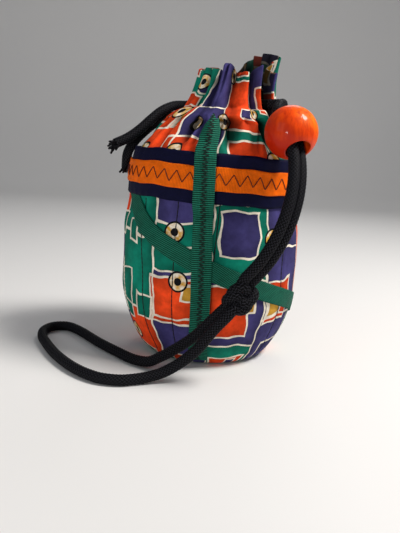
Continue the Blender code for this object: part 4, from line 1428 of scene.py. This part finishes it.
class POUCH_OT_stage(Operator):
    """Lay a pale floor and set soft studio light"""

    bl_idname = "pouch.stage"
    bl_label = "Stage"

    def execute(self, context):
        mesh = bpy.data.meshes.new("floor")
        reach, depth, height, bend = 3.0, 1.6, 2.4, 0.5
        profile = [(-2.4, 0.0), (depth - bend, 0.0)]
        profile += [(depth - bend + bend * np.sin(a), bend - bend * np.cos(a))
                    for a in np.linspace(0.1, np.pi / 2, 12)]
        profile.append((depth, height))
        points = [(side * reach, y, z) for y, z in profile for side in (-1, 1)]
        faces = [(2 * k, 2 * k + 1, 2 * k + 3, 2 * k + 2) for k in range(len(profile) - 1)]
        mesh.from_pydata(points, [], faces)
        mesh.shade_smooth()
        mesh.materials.append(plain_stage("pale_floor", (0.80, 0.79, 0.78)))
        floor = bpy.data.objects.new("floor", mesh)
        context.scene.collection.objects.link(floor)
        world = bpy.data.worlds.new("soft_room")
        world.use_nodes = True
        world.node_tree.nodes["Background"].inputs[0].default_value = (0.86, 0.89, 0.94, 1.0)
        world.node_tree.nodes["Background"].inputs[1].default_value = 0.22
        context.scene.world = world
        lamps = (
            ("key_light", (0.52, -0.14, 0.78), 0.26, 9.2, (1.0, 0.97, 0.93)),
            ("fill_light", (-0.75, -0.55, 0.45), 0.60, 1.0, (0.93, 0.96, 1.0)),
            ("front_light", (-0.40, -0.98, 0.12), 0.15, 2.4, (1.0, 0.98, 0.95)),
            ("rim_light", (0.15, 0.80, 0.70), 0.30, 1.2, (1.0, 1.0, 1.0)),
        )
        for name, spot, size, power, colour in lamps:
            data = bpy.data.lights.new(name, "AREA")
            data.energy = power
            data.size = size
            data.color = colour
            lamp = bpy.data.objects.new(name, data)
            context.scene.collection.objects.link(lamp)
            lamp.location = spot
            aim = Vector((0.0, 0.0, 0.08)) - Vector(spot)
            lamp.rotation_euler = aim.to_track_quat("-Z", "Y").to_euler()
        context.scene.view_settings.view_transform = "Standard"
        return {"FINISHED"}


class POUCH_PT_panel(Panel):
    """Sizes, colours and steps of the pouch."""

    bl_label = "Drawstring pouch"
    bl_idname = "POUCH_PT_panel"
    bl_space_type = "VIEW_3D"
    bl_region_type = "UI"
    bl_category = "Pouch"

    def draw(self, context):
        column = self.layout.column()
        for group in (context.scene.pouch_sizes, context.scene.pouch_colours):
            for name in group.__annotations__:
                column.prop(group, name)
        for step in STEPS:
            column.operator(step.bl_idname)


STEPS = (POUCH_OT_camera, POUCH_OT_bead, POUCH_OT_drawstring, POUCH_OT_casing_cord,
         POUCH_OT_panels, POUCH_OT_base, POUCH_OT_band, POUCH_OT_ribbons, POUCH_OT_seams,
         POUCH_OT_stage)


def register():
    for kind in (PouchSizes, PouchColours, *STEPS, POUCH_PT_panel):
        bpy.utils.register_class(kind)
    bpy.types.Scene.pouch_sizes = PointerProperty(type=PouchSizes)
    bpy.types.Scene.pouch_colours = PointerProperty(type=PouchColours)


def unregister():
    del bpy.types.Scene.pouch_colours
    del bpy.types.Scene.pouch_sizes
    for kind in reversed((PouchSizes, PouchColours, *STEPS, POUCH_PT_panel)):
        bpy.utils.unregister_class(kind)


def main():
    register()
    bpy.ops.pouch.camera()
    bpy.ops.pouch.bead()
    bpy.ops.pouch.drawstring()
    bpy.ops.pouch.casing_cord()
    bpy.ops.pouch.panels()
    bpy.ops.pouch.base()
    bpy.ops.pouch.band()
    bpy.ops.pouch.ribbons()
    bpy.ops.pouch.seams()
    bpy.ops.pouch.stage()


if __name__ == "__main__":
    main()
